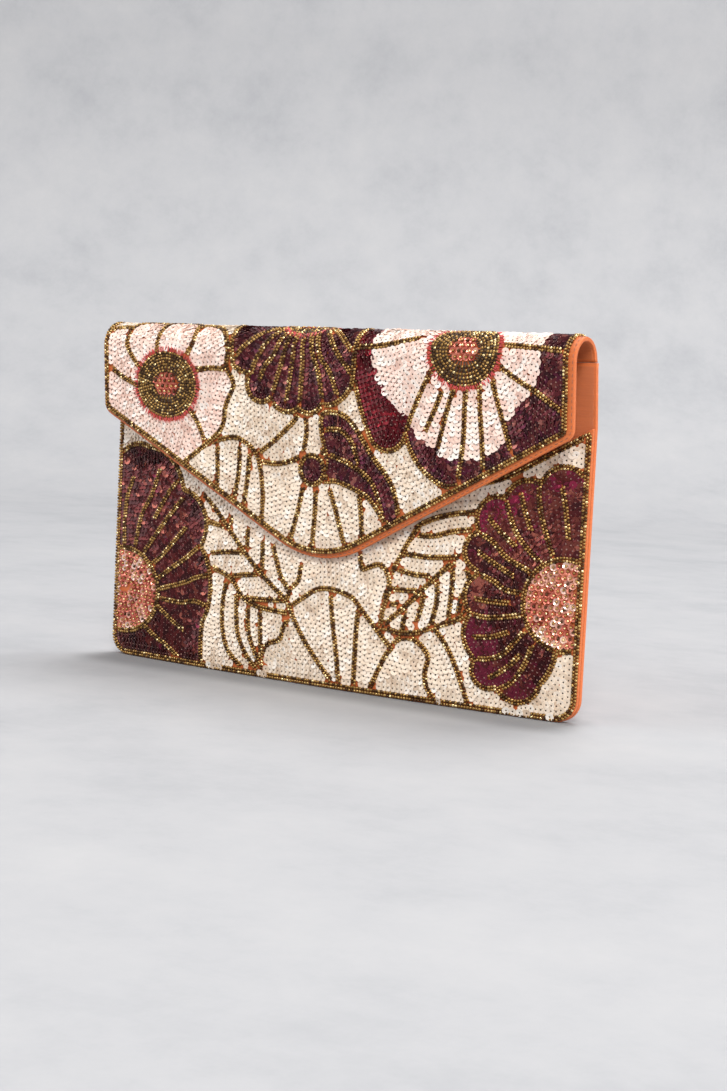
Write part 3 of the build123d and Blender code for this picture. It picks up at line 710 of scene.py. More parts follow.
# A seed bead lies on its side, with its hole along the row.
BEAD = lathe([(0.22, 0.5), (0.46, 0.56), (0.68, 0.28), (0.68, -0.28), (0.46, -0.56), (0.22, -0.5)], 8,
             lying=True)
STITCH = lathe([(0, 0.85), (0.15, 0.65), (0.19, 0), (0.15, -0.65), (0, -0.85)], 6, lying=True)
THREAD = lathe([(0, 1.5), (0.16, 0.7), (0.24, -1.2), (0, -1.5)], 5, lying=True)


def frames_on(surface, rows, tilts, rolls):
    """Row vectors of each copy's axes: along its row, across it and outwards."""
    across, up, out = axes_on(surface, rows[:, 0], rows[:, 1])
    angles = [rows[:, 2], tilts, rolls]
    turns, tilts, rolls = (np.broadcast_to(angle, len(rows))[:, None] for angle in angles)
    along = np.cos(turns) * across + np.sin(turns) * up
    side = np.cross(out, along)
    along, out = np.cos(tilts) * along + np.sin(tilts) * out, np.cos(tilts) * out - np.sin(tilts) * along
    side, out = np.cos(rolls) * side + np.sin(rolls) * out, np.cos(rolls) * out - np.sin(rolls) * side
    return np.stack([along, side, out], 1)


def add_copies(name, template, work, rows, rise, slot, materials, shades=0, nodes=(), tilts=0.0, rolls=0.0,
               size=1.0, smooth=True):
    """One piece of a template's copies, at rows of (across, up, turn) on a panel."""
    surface, body = work
    centres = surface(rows[:, 0], rows[:, 1], rise)
    frames = frames_on(surface, rows, tilts, rolls) * np.reshape(size, (-1, 1, 1))
    shades = np.broadcast_to(shades, len(rows))
    mesh = copies_mesh(name, template, centres, frames, shades, materials, smooth)
    return placed(linked(name, mesh), body, slot, *nodes)


# ---- Laying out beads and sequins ----
class Spacing:
    """Keeps the places taken so far, and tells whether a new one is far enough from them."""

    def __init__(self, least, places=()):
        self.least = least
        self.cells = {}
        for x, h in places:
            self.add(x, h)

    def near(self, x, h):
        column, row = int(x // self.least), int(h // self.least)
        for cell in itertools.product((column - 1, column, column + 1), (row - 1, row, row + 1)):
            for a, b in self.cells.get(cell, ()):
                if (a - x) ** 2 + (b - h) ** 2 < self.least**2:
                    return True
        return False

    def add(self, x, h):
        self.cells.setdefault((int(x // self.least), int(h // self.least)), []).append((x, h))

    def take(self, x, h):
        """Takes a place if it is free, and tells whether it was."""
        free = not self.near(x, h)
        if free:
            self.add(x, h)
        return free


def along_line(line, pitch, start=0.0):
    """Rows of (across, up, turn) at a pitch along a line."""
    lengths = lengths_along(line)
    at = np.arange(start, lengths[-1], pitch)
    ahead = np.gradient(line, axis=0)
    turns = np.arctan2(np.interp(at, lengths, ahead[:, 1]), np.interp(at, lengths, ahead[:, 0]))
    return np.column_stack([places_at(line, at), turns])


class Embroidery:
    """The beads and sequins of one panel."""

    def __init__(self, surface, body):
        self.panel = (surface, body)
        self.taken = Spacing(BEAD_SPACING)
        self.guides = []

    def bead_lines(self, lines, wanted):
        """Double rows of beads along lines, where wanted(places) is true."""
        found = []
        for line in lines:
            line = resample(line, 0.4)
            self.guides += line[wanted(line)].tolist()
            for offset, start in zip((BEAD_OFFSET, -BEAD_OFFSET), ROW_STARTS):
                rows = along_line(beside(line, offset), BEAD_PITCH, start)
                found += [row for row in rows[wanted(rows[:, :2])] if self.taken.take(*row[:2])]
        return np.reshape(found, (-1, 3))

    def finish_guides(self):
        """Makes the search tree over the middles of all the bead rows."""
        self.tree = search_tree(self.guides)

    def clearance(self, places):
        return np.array([self.tree.find((x, h, 0))[2] for x, h in places])

    def sequin_rows(self, lines, wanted, pitch, row, first):
        """Rows of sequins that follow the bead rows, as far as wanted(places) is true."""
        spacing = Spacing(ROW_SPACING * pitch)
        found = []
        lines = [resample(line, 0.6) for line in lines]
        for number, line, side in itertools.product(range(SEQUIN_ROW_COUNT), lines, (1, -1)):
            distance = first + number * row
            rows = along_line(beside(line, side * distance), pitch, pitch / 2 * (number % 2))
            rows = rows[wanted(rows[:, :2])]
            clear = self.clearance(rows[:, :2]) > distance - ROW_SLACK
            found += [place for place in rows[clear] if spacing.take(*place[:2])]
        # Single sequins fill what the rows leave open.
        sewn = np.array(found)
        low, high = sewn[:, :2].min(0) - 3, sewn[:, :2].max(0) + 3
        tries = random.uniform(low, high, (int(TRIES * np.prod(high - low)), 2))
        tries = tries[wanted(tries)]
        tries = tries[self.clearance(tries) > first - FILL_SLACK]
        rows_tree = search_tree(sewn[:, :2])
        spacing = Spacing(FILL_SPACING * pitch, sewn[:, :2])
        for x, h in tries:
            if spacing.take(x, h):
                found.append((x, h, sewn[rows_tree.find((x, h, 0))[1], 2]))
        return np.array(found)


# ---- Materials ----
def feed(material, socket, value):
    """Links a socket to another node's output, or sets its value."""
    if isinstance(value, bpy.types.NodeSocket):
        material.node_tree.links.new(value, socket)
    else:
        socket.default_value = value


def add_node(material, kind, *values, **settings):
    """A node. Its sockets take values in order or by name, and its other settings go by name."""
    node = material.node_tree.nodes.new("ShaderNode" + kind)
    for number, value in enumerate(values):
        feed(material, node.inputs[number], value)
    for name, value in settings.items():
        if name.replace("_", " ") in node.inputs:
            feed(material, node.inputs[name.replace("_", " ")], value)
        else:
            setattr(node, name, value)
    return node


def set_shader(material, **values):
    shader = material.node_tree.nodes["Principled BSDF"]
    for name, value in values.items():
        feed(material, shader.inputs[name.replace("_", " ")], value)
    return material


def new_material(name, colour, roughness, metallic=0.0, **values):
    material = bpy.data.materials.new(name)
    material.use_nodes = True
    return set_shader(material, Base_Color=(*colour, 1), Roughness=roughness, Metallic=metallic, **values)


def place_on(material):
    """The place on the object, in metres."""
    return add_node(material, "TexCoord").outputs["Object"]


def noise(material, place, scale, **settings):
    return add_node(material, "TexNoise", Vector=place, Scale=scale, **settings).outputs["Fac"]


def bump(material, height, strength, distance, **settings):
    node = add_node(material, "Bump", Height=height, Strength=strength, Distance=distance, **settings)
    return node.outputs["Normal"]


def spread(material, source, low, high, **settings):
    """A value from 0 to 1, spread from low to high."""
    return add_node(material, "MapRange", Value=source, To_Min=low, To_Max=high, **settings).outputs["Result"]


def ramp(material, source, stops):
    """Colours along a value, from (position, colour) stops."""
    node = add_node(material, "ValToRGB", source)
    elements = node.color_ramp.elements
    while len(elements) < len(stops):
        elements.new(0.5)
    for element, (position, colour) in zip(elements, stops):
        element.position = position
        element.color = (*colour, 1)
    return node.outputs["Color"]


def uneven_surface(material, scale, strength, distance, roughness):
    """Noise for a small sewn piece: a slight bump and an uneven roughness."""
    grain = noise(material, place_on(material), scale, Detail=2.0)
    return set_shader(material, Normal=bump(material, grain, strength, distance),
                      Roughness=spread(material, grain, *roughness))


def sequin_shades(name, colours, roughness, metallic, coat=0.3, hole_thread_and_painted_light=(0.035, 0.016, 0.008)):
    """A sequin's materials: its hole, then the shades of its colour. The hole's colour stands for its thread
    and painted shade, and on dark sequins for a painted highlight.
    """
    hole = new_material(name + "_hole", hole_thread_and_painted_light, 0.8)
    materials = [uneven_surface(hole, 2500, 0.3, 0.0001, (0.7, 0.9))]
    for number, colour in enumerate(colours):
        shade = new_material(f"{name}_{number}", colour, 0.3, metallic, Coat_Weight=coat, Coat_Roughness=0.12)
        materials.append(uneven_surface(shade, 900, 0.25, 0.0002, roughness))
    return materials


def thread_material(name, colour, roughness, sheen=0.3):
    thread = new_material(name, colour, roughness[0], Sheen_Weight=sheen)
    return uneven_surface(thread, 3000, 0.4, 0.0001, roughness)


def woven_material(name, stops, thread=0.00036, roughness=0.48, slub=0.5):
    """Plain-woven satin with slubs: two threads crossing, and streaks along the weft."""
    material = new_material(name, stops[1][1], roughness, Sheen_Weight=0.1, Sheen_Roughness=0.4)
    place = place_on(material)
    wave = {"Vector": place, "Scale": 0.314 / thread, "Detail": 1.0}
    warp = add_node(material, "TexWave", Distortion=0.6, bands_direction="X", **wave).outputs["Fac"]
    weft = add_node(material, "TexWave", Distortion=0.8, bands_direction="Z", **wave).outputs["Fac"]
    weave = add_node(material, "Math", warp, weft, operation="ADD").outputs["Value"]
    along_weft = add_node(material, "Mapping", Vector=place, Scale=(0.22, 1.0, 5.0)).outputs["Vector"]
    streaks = noise(material, along_weft, 260, Detail=5.0, Roughness=0.65)
    clouds = noise(material, place, 24, Detail=4.0)
    tone = add_node(material, "MixRGB", 0.5, streaks, clouds).outputs["Color"]
    # Painted shade and highlight on the weave: the colour is darker between the threads and lighter on their
    # crests.
    light = spread(material, weave, 0.82, 1.1, From_Max=2.0)
    colour = add_node(material, "MixRGB", 1.0, ramp(material, tone, stops), light, blend_type="MULTIPLY")
    threads = bump(material, weave, 0.55, 0.00012)
    return set_shader(material, Base_Color=colour.outputs["Color"],
                      Normal=bump(material, streaks, slub, 0.0004, Normal=threads),
                      Roughness=spread(material, streaks, roughness - 0.1, roughness + 0.14))


def mottled_material(name, stops, scale, roughness, relief, metallic=0.0, grain=0.6):
    """Card, felt, plaster or metal: noise in colour, roughness and bump."""
    material = new_material(name, stops[0][1], roughness[0], metallic)
    pattern = noise(material, place_on(material), scale, Detail=7.0, Roughness=grain)
    return set_shader(material, Base_Color=ramp(material, pattern, stops),
                      Normal=bump(material, pattern, relief, 0.0002),
                      Roughness=spread(material, pattern, *roughness))


# Four shades of gold bead: tone that differs at random, with the darkest also painted shade between beads and
# the brightest a painted glint.
bead_tones_with_painted_light = []
for number, (colour, roughness) in enumerate([
    ((0.35, 0.195, 0.056), 0.3), ((0.09, 0.042, 0.012), 0.36), ((0.54, 0.34, 0.115), 0.26),
    ((0.88, 0.68, 0.34), 0.16),
]):
    shade = new_material(f"gold_bead_{number}", colour, roughness, 0.8, Coat_Weight=0.2, Coat_Roughness=0.12)
    bead_tones_with_painted_light.append(uneven_surface(shade, 700, 0.2, 0.0002, (roughness - 0.08, roughness + 0.12)))

MATT = {"roughness": (0.28, 0.5), "metallic": 0.0}
# The dark sequins' pale hole colour is a painted highlight round the hole.
FOIL = {"roughness": (0.14, 0.36), "metallic": 0.75, "coat": 0.12, "hole_thread_and_painted_light": (0.30, 0.165, 0.14)}
RED_FOIL = {"roughness": (0.16, 0.36), "metallic": 0.75, "coat": 0.08}
ivory_shades = sequin_shades("ivory_sequin", [
    (0.87, 0.72, 0.57), (0.80, 0.64, 0.49), (0.91, 0.78, 0.65), (0.70, 0.53, 0.39), (0.95, 0.86, 0.76),
    (0.84, 0.68, 0.54),
], **MATT)
blush_shades = sequin_shades("blush_sequin", [
    (0.91, 0.67, 0.57), (0.84, 0.59, 0.49), (0.94, 0.75, 0.65), (0.76, 0.50, 0.41), (0.96, 0.85, 0.77),
    (0.92, 0.70, 0.61),
], **MATT)
burgundy_shades = sequin_shades("burgundy_sequin", [
    (0.080, 0.009, 0.010), (0.045, 0.006, 0.007), (0.115, 0.015, 0.014), (0.17, 0.036, 0.026),
    (0.155, 0.012, 0.032), (0.36, 0.10, 0.07), (0.26, 0.016, 0.052),
], **FOIL)
plum_shades = sequin_shades("plum_sequin", [
    (0.078, 0.009, 0.014), (0.040, 0.006, 0.009), (0.115, 0.015, 0.020), (0.15, 0.032, 0.028),
    (0.09, 0.008, 0.026), (0.34, 0.11, 0.09),
], **FOIL)
red_shades = sequin_shades("red_sequin", [
    (0.11, 0.003, 0.007), (0.065, 0.002, 0.004), (0.16, 0.004, 0.010), (0.095, 0.003, 0.009),
    (0.30, 0.013, 0.024), (0.045, 0.002, 0.003),
], **RED_FOIL)
coral_shades = sequin_shades("coral_sequin", [
    (0.60, 0.15, 0.095), (0.72, 0.23, 0.15), (0.46, 0.09, 0.06), (0.82, 0.42, 0.32), (0.54, 0.12, 0.085),
    (0.92, 0.66, 0.56),
], (0.12, 0.3), 0.45, 0.25)

RUST = [(0.25, (0.57, 0.125, 0.025)), (0.52, (0.67, 0.158, 0.035)), (0.78, (0.78, 0.205, 0.050))]
LINING_RUST = [(0.25, (0.50, 0.120, 0.030)), (0.5, (0.60, 0.155, 0.042)), (0.78, (0.68, 0.200, 0.060))]
rust_satin = woven_material("rust_satin", RUST)
rust_lining_cloth = woven_material("rust_lining_cloth", LINING_RUST, thread=0.0003, roughness=0.42, slub=0.25)
rust_thread = thread_material("rust_thread", (0.30, 0.085, 0.03), (0.45, 0.65))
red_thread = thread_material("red_thread", (0.62, 0.05, 0.045), (0.4, 0.6))
brown_thread = thread_material("brown_thread", (0.055, 0.026, 0.011), (0.5, 0.7), sheen=0.2)

grey_card = mottled_material(
    "grey_card", [(0.3, (0.32, 0.28, 0.23)), (0.7, (0.46, 0.42, 0.35))], 420, (0.8, 0.95), 0.4
)
felt = mottled_material("felt", [(0.3, (0.62, 0.58, 0.5)), (0.7, (0.78, 0.75, 0.68))], 900, (0.85, 1.0), 0.6)
snap_brass = mottled_material(
    "snap_brass", [(0.3, (0.62, 0.44, 0.19)), (0.7, (0.80, 0.61, 0.31))], 160, (0.16, 0.34), 0.08, 1.0
)
magnet_iron = mottled_material(
    "magnet_iron", [(0.3, (0.06, 0.06, 0.065)), (0.7, (0.12, 0.12, 0.13))], 500, (0.4, 0.6), 0.2, 0.8
)


# ---- Cloth panels ----
def panel_grid(outline, step):
    """A flat triangle mesh of an outline: points and faces, the outline's own points first."""
    low, high = outline.min(0), outline.max(0)
    grid = np.meshgrid(*(np.arange(low[axis] + step / 2, high[axis], step) for axis in (0, 1)))
    grid = np.stack(grid, -1).reshape(-1, 2)
    grid = grid[inside(grid, inset(outline, step * 0.6))]
    places = [Vector(place) for place in np.vstack([outline, grid])]
    edges = [(i, (i + 1) % len(outline)) for i in range(len(outline))]
    points, _, faces, *_ = delaunay_2d_cdt(places, edges, [], 1, 1e-4)
    return np.array([tuple(point) for point in points]), faces


def slab(name, outline, surface, rises, material, edge, step, relief=None, square_above=math.inf):
    """A closed cloth-covered panel between two rises, with rounded edges.

    relief(x, h) lifts the outer face. Above square_above the edge keeps its corner.
    """
    outer, inner = rises
    face_outline = np.where(outline[:, 1:] > square_above, outline, inset(outline, edge))
    flat, faces = panel_grid(face_outline, step)
    x, h = flat.T
    count = len(outline)
    points = [surface(x, h, outer + (relief(x, h) if relief else 0))]
    rings = [np.arange(count)]
    used = len(flat)
    quarter = np.linspace(0, math.pi / 2, 5)
    for start, sign, turns in ((outer, 1, quarter[1:]), (inner, -1, quarter[:0:-1])):
        for turn in turns:
            ring = face_outline + (outline - face_outline) * math.sin(turn)
            points.append(surface(ring[:, 0], ring[:, 1], start - sign * edge * (1 - math.cos(turn))))
            rings.append(used + np.arange(count))
            used += count
    points.append(surface(x, h, inner))
    rings.append(used + np.arange(count))
    all_faces = [*faces, *tube_faces(rings), *([used + v for v in reversed(face)] for face in faces)]
    return mesh_object(name, np.vstack(points), all_faces, material)


def cover(name, node, body, outline, surface, edge, rises=COVER, step=2.6, **shape):
    """A panel of rust satin."""
    panel = slab(name, outline, surface, rises, rust_satin, edge, step, **shape)
    return placed(panel, body, "rust_fabric", node)


def lining(name, node, body, outline, surface, edge=0.2, rises=LINING, step=2.6):
    """A panel of lining."""
    cloth = slab(name, outline, surface, rises, rust_lining_cloth, edge, step)
    placed(cloth, body, "rust_lining", node)


front_panel = front_outline()
flap_panel = flap_outline(FOLD_END - CREASE_GAP)
back_panel = back_outline(FOLD_Z - CREASE_GAP)
base_panel = base_outline()
pocket_panel = pocket_outline()
cover("front_cloth", "front_outer_fabric", "pouch", front_panel, front_surface, 0.5)
lining("front_inside_lining", "front_lining", "pouch", inset(front_panel, LINING_MARGIN), front_surface)
cover("back_cloth", "back_outer_fabric", "pouch", back_panel, back_surface, 0.5,
      relief=lambda x, h: puckers(x, h, FOLD_Z), square_above=FOLD_Z - 0.2)
lining("back_inside_lining", "back_lining", "pouch", inset(back_panel, LINING_MARGIN), back_surface)
cover("flap_cloth", "flap_outer_fabric", "flap", flap_panel, flap_surface, 0.6, step=2.2,
      square_above=FOLD_END - 0.2)
lining("flap_inside_facing", "flap_facing", "flap", inset(flap_outline(FOLD_END - 0.2), LINING_MARGIN),
       flap_surface, step=2.2)
cover("base_cloth", "base_fabric", "pouch", base_panel, base_surface, 0.1, rises=(0, -0.5), step=1.6)
lining("base_inside_lining", "base_lining", "pouch", base_panel, base_surface, 0.1, (-1.5, -1.9), 1.6)
lining("slip_pocket_cloth", "slip_pocket", "pouch", pocket_panel, pocket_surface, 0.18, (0.42, 0.02), 2.2)


def hinge_strip():
    """A strip of lining glued inside, across the crease where the flap hinges."""
    inner = FOLD_RADIUS - STACK - 0.02
    path = [(FOLD_Y + inner, FOLD_Z - down) for down in np.linspace(STRIP_REACH, 0.5, 7)]
    path += [(FOLD_Y + inner * math.cos(a), FOLD_Z + inner * math.sin(a))
             for a in np.linspace(0, STRIP_REACH / inner, 8)]
    path = np.array(path)
    loop = np.vstack([beside(path, STRIP_THICKNESS), path[::-1]])
    across = np.linspace(-STRIP_HALF, STRIP_HALF, 64)
    points = [(x, y, z) for x in across for y, z in loop]
    rings = np.arange(len(points)).reshape(len(across), -1)
    faces = [*tube_faces(rings), rings[0], rings[-1][::-1]]
    return mesh_object("hinge_lining_strip", points, faces, rust_lining_cloth)


strip = hinge_strip()
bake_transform(strip)


def stitches(name, line, surface, body, rise, below=math.inf, slot="rust_fabric"):
    """Running stitches along a line, each lying half in the cloth."""
    rows = along_line(resample(line, 0.5), STITCH_PITCH)
    rows = rows[rows[:, 1] < below]
    rows[:, 2] += random.normal(0, 0.05, len(rows))
    add_copies(name, STITCH, (surface, body), rows, rise, slot, [rust_thread])


stitches("flap_topstitching", inner_line(flap_panel, 1.1), flap_surface, "flap", 0.05, FOLD_END - 2)
stitches("back_topstitching", inner_line(back_panel, 3.0), back_surface, "pouch", 0.02, FOLD_Z - 2)
stitches("pocket_stitching", inner_line(pocket_panel, 1.6), pocket_surface, "pouch", 0.45, slot="rust_lining")

# ---- The front's embroidery ----
BEAD_MIX = (0.5, 0.27, 0.15, 0.08)
IVORY_MIX = (0.34, 0.2, 0.2, 0.08, 0.1, 0.08)
PLUM_MIX = (0.36, 0.26, 0.16, 0.1, 0.06, 0.06)


def draw_shades(rows, mix):
    """A shade for each place, by a mix: the share of each shade."""
    return random.choice(len(mix), len(rows), p=mix)


def add_beads(node, work, rows):
    """Seed beads, each a little askew, that stand for a node of beads."""
    tilts, rolls = random.normal(0, 0.07, (2, len(rows)))
    sizes = random.uniform(0.9, 1.06, len(rows))
    add_copies(node[:-1] + "_rows", BEAD, work.panel, rows, BEAD_LIFT, "gold_beads", bead_tones_with_painted_light,
               draw_shades(rows, BEAD_MIX), [node], tilts, rolls, sizes)


def add_sequins(name, node, work, rows, slot, materials, shades, template=SEQUIN, tilt=0.17, lift=0.3):
    """Sequins that stand for a node. Each leans on the one before it in its row."""
    rises = lift + random.uniform(0, 0.1, len(rows))
    tilts = tilt + random.normal(0, 0.05, len(rows))
    rolls = random.normal(0, 0.07, len(rows))
    add_copies(name, template, work.panel, rows, rises, slot, materials, 1 + shades, [node], tilts, rolls,
               smooth=False)


def sequin_field(name, node, work, slot, materials, mix, lines, wanted, spacing, lift=0.3):
    """Rows of sequins along lines, as far as wanted(places) is true."""
    rows = work.sequin_rows(lines, wanted, **spacing)
    add_sequins(name, node, work, rows, slot, materials, draw_shades(rows, mix), lift=lift)
    return rows


front = Embroidery(front_surface, "pouch")
in_field = within(inner_line(front_panel, FRONT_BORDER + BEAD_BAND))
front_band = inner_line(front_panel, FRONT_BORDER + BEAD_BAND / 2)
add_beads("front_edge_beads", front, front.bead_lines([front_band], anywhere))

right_rim = resample(beside(chain(RIGHT_FLOWER), BEAD_BAND / 2), 0.4)
left_rim = resample(beside(chain(LEFT_FLOWER), -BEAD_BAND / 2), 0.4)
right_halo, left_halo = ellipse(RIGHT_CENTRE, BEAD_BAND / 2), ellipse(LEFT_CENTRE, BEAD_BAND / 2)
right_veins, left_veins = smooth_lines(RIGHT_FLOWER_VEINS), smooth_lines(LEFT_FLOWER_VEINS)
right_flower = np.vstack([chain(RIGHT_FLOWER), RIGHT_FLOWER_CLOSE])
left_flower = np.vstack([chain(LEFT_FLOWER), LEFT_FLOWER_CLOSE])
in_right = all_of(in_field, within(right_flower))
in_left = all_of(in_field, within(left_flower))
add_beads("front_flower_beads", front, np.vstack([
    front.bead_lines([right_rim, left_rim, right_halo, left_halo], in_field),
    front.bead_lines(right_veins, all_of(in_right, outside(ellipse(RIGHT_CENTRE)))),
    front.bead_lines(left_veins, all_of(in_left, outside(ellipse(LEFT_CENTRE)))),
]))

ground_lines = smooth_lines(LEFT_LEAF + MIDDLE_FAN + RIGHT_LEAF)
right_full, left_full = ellipse(RIGHT_CENTRE, BEAD_BAND), ellipse(LEFT_CENTRE, BEAD_BAND)
off_front_flowers = outside(right_flower, left_flower, right_full, left_full)
on_ground = all_of(in_field, off_front_flowers, outside(ellipse(SNAP_CLEARING)))
add_beads("front_leaf_beads", front, front.bead_lines(ground_lines, on_ground))
front.finish_guides()

sequin_field("front_ivory_sequin_rows", "front_ivory_sequins", front, "ivory_sequins", ivory_shades,
             IVORY_MIX, [front_band, right_rim, left_rim, right_halo, left_halo] + ground_lines, on_ground,
             WIDE_ROWS)


def tip_share(places, centre, reach):
    """How far towards the petals' tips each place is, from 0 to 1."""
    away = np.hypot(places[:, 0] - centre[0], places[:, 1] - centre[1]) / reach
    return np.clip((away - 0.72) / 0.12, 0, 1)


def petal_shades(rows, centre, petals):
    """Shades of a dark flower. A petal is the angle where it ends, its reach and its inner and tip mixes."""
    angles = np.degrees(np.arctan2(rows[:, 1] - centre[1], rows[:, 0] - centre[0])) % 360
    petal_of = [petals[number] for number in np.searchsorted([petal[0] for petal in petals], angles)]
    shares = tip_share(rows, centre, np.array([reach for _, reach, _, _ in petal_of]))
    return np.array([
        random.choice(7, p=(1 - share) * np.array(inner) + share * np.array(tip))
        for share, (_, _, inner, tip) in zip(shares, petal_of)
    ])


# Mixes of the seven burgundy shades.
BROWN = (0.42, 0.34, 0.14, 0.06, 0.01, 0.03, 0)
BROWN_TIP = (0.36, 0.3, 0.2, 0.09, 0.02, 0.03, 0)
DARK = (0.36, 0.42, 0.12, 0.05, 0.02, 0.03, 0)
ROSE = (0.17, 0.05, 0.3, 0.4, 0.03, 0.05, 0)
ROSY_TIP = (0.1, 0, 0.14, 0.14, 0.32, 0.03, 0.27)
SALMON_TIP = (0.14, 0.1, 0.14, 0.22, 0.04, 0.34, 0.02)
PLUM_TIP = (0.08, 0.02, 0.1, 0.05, 0.75, 0, 0)
LEFT_PETALS = [(360, 62, BROWN, BROWN_TIP)]
RIGHT_PETALS = [
    (105, 61, ROSE, ROSY_TIP),
    (124.5, 58, ROSE, ROSY_TIP),
    (146.5, 57, ROSE, ROSY_TIP),
    (166.5, 48, DARK, DARK),
    (189.5, 48, DARK, SALMON_TIP),
    (360, 48, DARK, PLUM_TIP),
]
left_guides = [front_band, left_rim, left_halo] + left_veins
rows = front.sequin_rows(left_guides, all_of(in_left, outside(left_full)), **CLOSE_ROWS)
add_sequins("front_left_petal_sequin_rows", "front_left_petal_sequins", front, rows, "burgundy_sequins",
            burgundy_shades, petal_shades(rows, LEFT_CENTRE, LEFT_PETALS))
right_guides = [front_band, right_rim, right_halo] + right_veins
rows = front.sequin_rows(right_guides, all_of(in_right, outside(right_full)), **CLOSE_ROWS)
flatter_tips = 0.17 - 0.13 * tip_share(rows, RIGHT_CENTRE, 48)
add_sequins("front_right_petal_sequin_rows", "front_right_petal_sequins", front, rows, "burgundy_sequins",
            burgundy_shades, petal_shades(rows, RIGHT_CENTRE, RIGHT_PETALS), tilt=flatter_tips)


def loose_sequins():
    """A few sequins that hang loose on the front's bottom edge."""
    across = [-62.5, -59.5, -56, -32, -29.8, 63, 95.5, 98.6, 101.8, 105, 115.5]
    count = len(across)
    height, rise = 2.1, 1.25
    heights, turns = random.normal(height, 0.12, count), random.uniform(-0.4, 0.4, count)
    rows = np.column_stack([across, heights, turns])
    tilts = random.normal(0, 0.18, count)
    add_copies("front_loose_sequins", SEQUIN, front.panel, rows, rise, "ivory_sequins", ivory_shades,
               1 + random.choice(6, count), tilts=tilts, rolls=0.25, smooth=False)


loose_sequins()


def cup_field(name, node, centre):
    """Rings of cupped sequins, each held by a seed bead."""
    growths = np.arange(-1.3, 0.5 - min(centre[2:]), -CUP_ROW)
    found = np.vstack([resample(ellipse(centre, growth), CUP_PITCH) for growth in growths])
    found += random.normal(0, 0.12, found.shape)
    spacing = Spacing(CUP_SPACING)
    places = np.array([place for place in found[in_field(found)] if spacing.take(*place)])
    rows = np.column_stack([places, random.uniform(0, math.tau, len(places))])
    add_sequins(name + "_cups", node, front, rows, "coral_sequins", coral_shades,
                draw_shades(rows, (0.2, 0.24, 0.08, 0.24, 0.08, 0.16)), CUP, tilt=0.12, lift=0.1)
    add_copies(name + "_cup_beads", BEAD, front.panel, rows, 0.75, "gold_beads", bead_tones_with_painted_light,
               draw_shades(rows, (0.3, 0.1, 0.35, 0.25)), size=0.82)


cup_field("front_left_centre", "front_left_centre_sequins", LEFT_CENTRE)
cup_field("front_right_centre", "front_right_centre_sequins", RIGHT_CENTRE)

# ---- The flap's embroidery ----
flap = Embroidery(flap_surface, "flap")
embroidered_flap = flap_outline(EMBROIDERY_END + FLAP_BORDER) - np.array([FLAP_SHIFT, 0])
in_flap = within(inner_line(embroidered_flap, FLAP_BORDER + BEAD_BAND))
flap_band = inner_line(embroidered_flap, FLAP_BORDER + BEAD_BAND / 2)
add_beads("flap_edge_beads", flap, flap.bead_lines([flap_band], anywhere))

RINGS = [(BLUSH_RING, BLUSH_EYE), (RIGHT_FLAP_RING, RIGHT_FLAP_EYE), (FOLD_RING, FOLD_EYE)]


def ring_spokes(ring, eye, between=0.0):
    """Rows in spokes round an eye, out to a ring's edge, with more spokes further out."""
    outer_size, inner_size = np.array(ring[2:]), np.array(eye[2:]) + SPOKE_START
    steps = round((outer_size - inner_size).mean() / BEAD_PITCH)
    found = []
    for step in range(steps):
        size = inner_size + (outer_size - inner_size) * (step + 0.5) / steps
        group_size = inner_size + (outer_size - inner_size) * (step // 2 * 2) / steps
        count = int(math.tau * group_size.mean() / SPOKE_PITCH)
        turn = (np.arange(count) + between) / count * math.tau
        away = size * np.stack([np.cos(turn), np.sin(turn)], -1)
        found.append(np.column_stack([ring[:2] + away, np.arctan2(away[:, 1], away[:, 0])]))
    found = np.vstack(found)
    return found[in_flap(found[:, :2])]


ring_rows = np.vstack([ring_spokes(*pair) for pair in RINGS])
gap_rows = np.vstack([ring_spokes(*pair, between=0.5) for pair in RINGS])
gap_rows[:, 2] += random.normal(0, 0.1, len(gap_rows))
add_copies("flap_ring_threads", THREAD, flap.panel, gap_rows, 0.3, "gold_beads", [brown_thread], size=1.5)
for x, h, _ in ring_rows:
    flap.taken.add(x, h)
for ring, _ in RINGS:
    flap.guides += ellipse(ring, -0.6).tolist()
add_beads("flap_ring_beads", flap, ring_rows)

blush_line, blush_top = smooth_line(BLUSH_FLOWER), chain(BLUSH_TOP)
blush_flower = np.vstack([blush_line, BLUSH_FLOWER_CLOSE, blush_top])
blush_lines = [blush_line, blush_top] + smooth_lines(BLUSH_LINES)
fold_flower = chain(FOLD_FLOWER)
fold_lines = [fold_flower] + smooth_lines(FOLD_LINES)
right_flap_flower = np.vstack([chain(RIGHT_FLAP_FLOWER), RIGHT_FLAP_FLOWER_CLOSE])
right_flap_rim = [chain(RIGHT_FLAP_FLOWER), arc(*RIGHT_FLAP_PETAL[2])]
right_flap_lines = right_flap_rim + smooth_lines(RIGHT_FLAP_LINES)
heart = chain(HEART)
leaf = np.array(LEAF, float)
leaf_rim = smooth_line(LEAF + LEAF[:1])
leaf_lines = [leaf_rim] + smooth_lines(LEAF_LINES)
bud_line = ellipse(BUD, -0.6)
flap_ground_lines = smooth_lines(FLAP_GROUND_LINES)

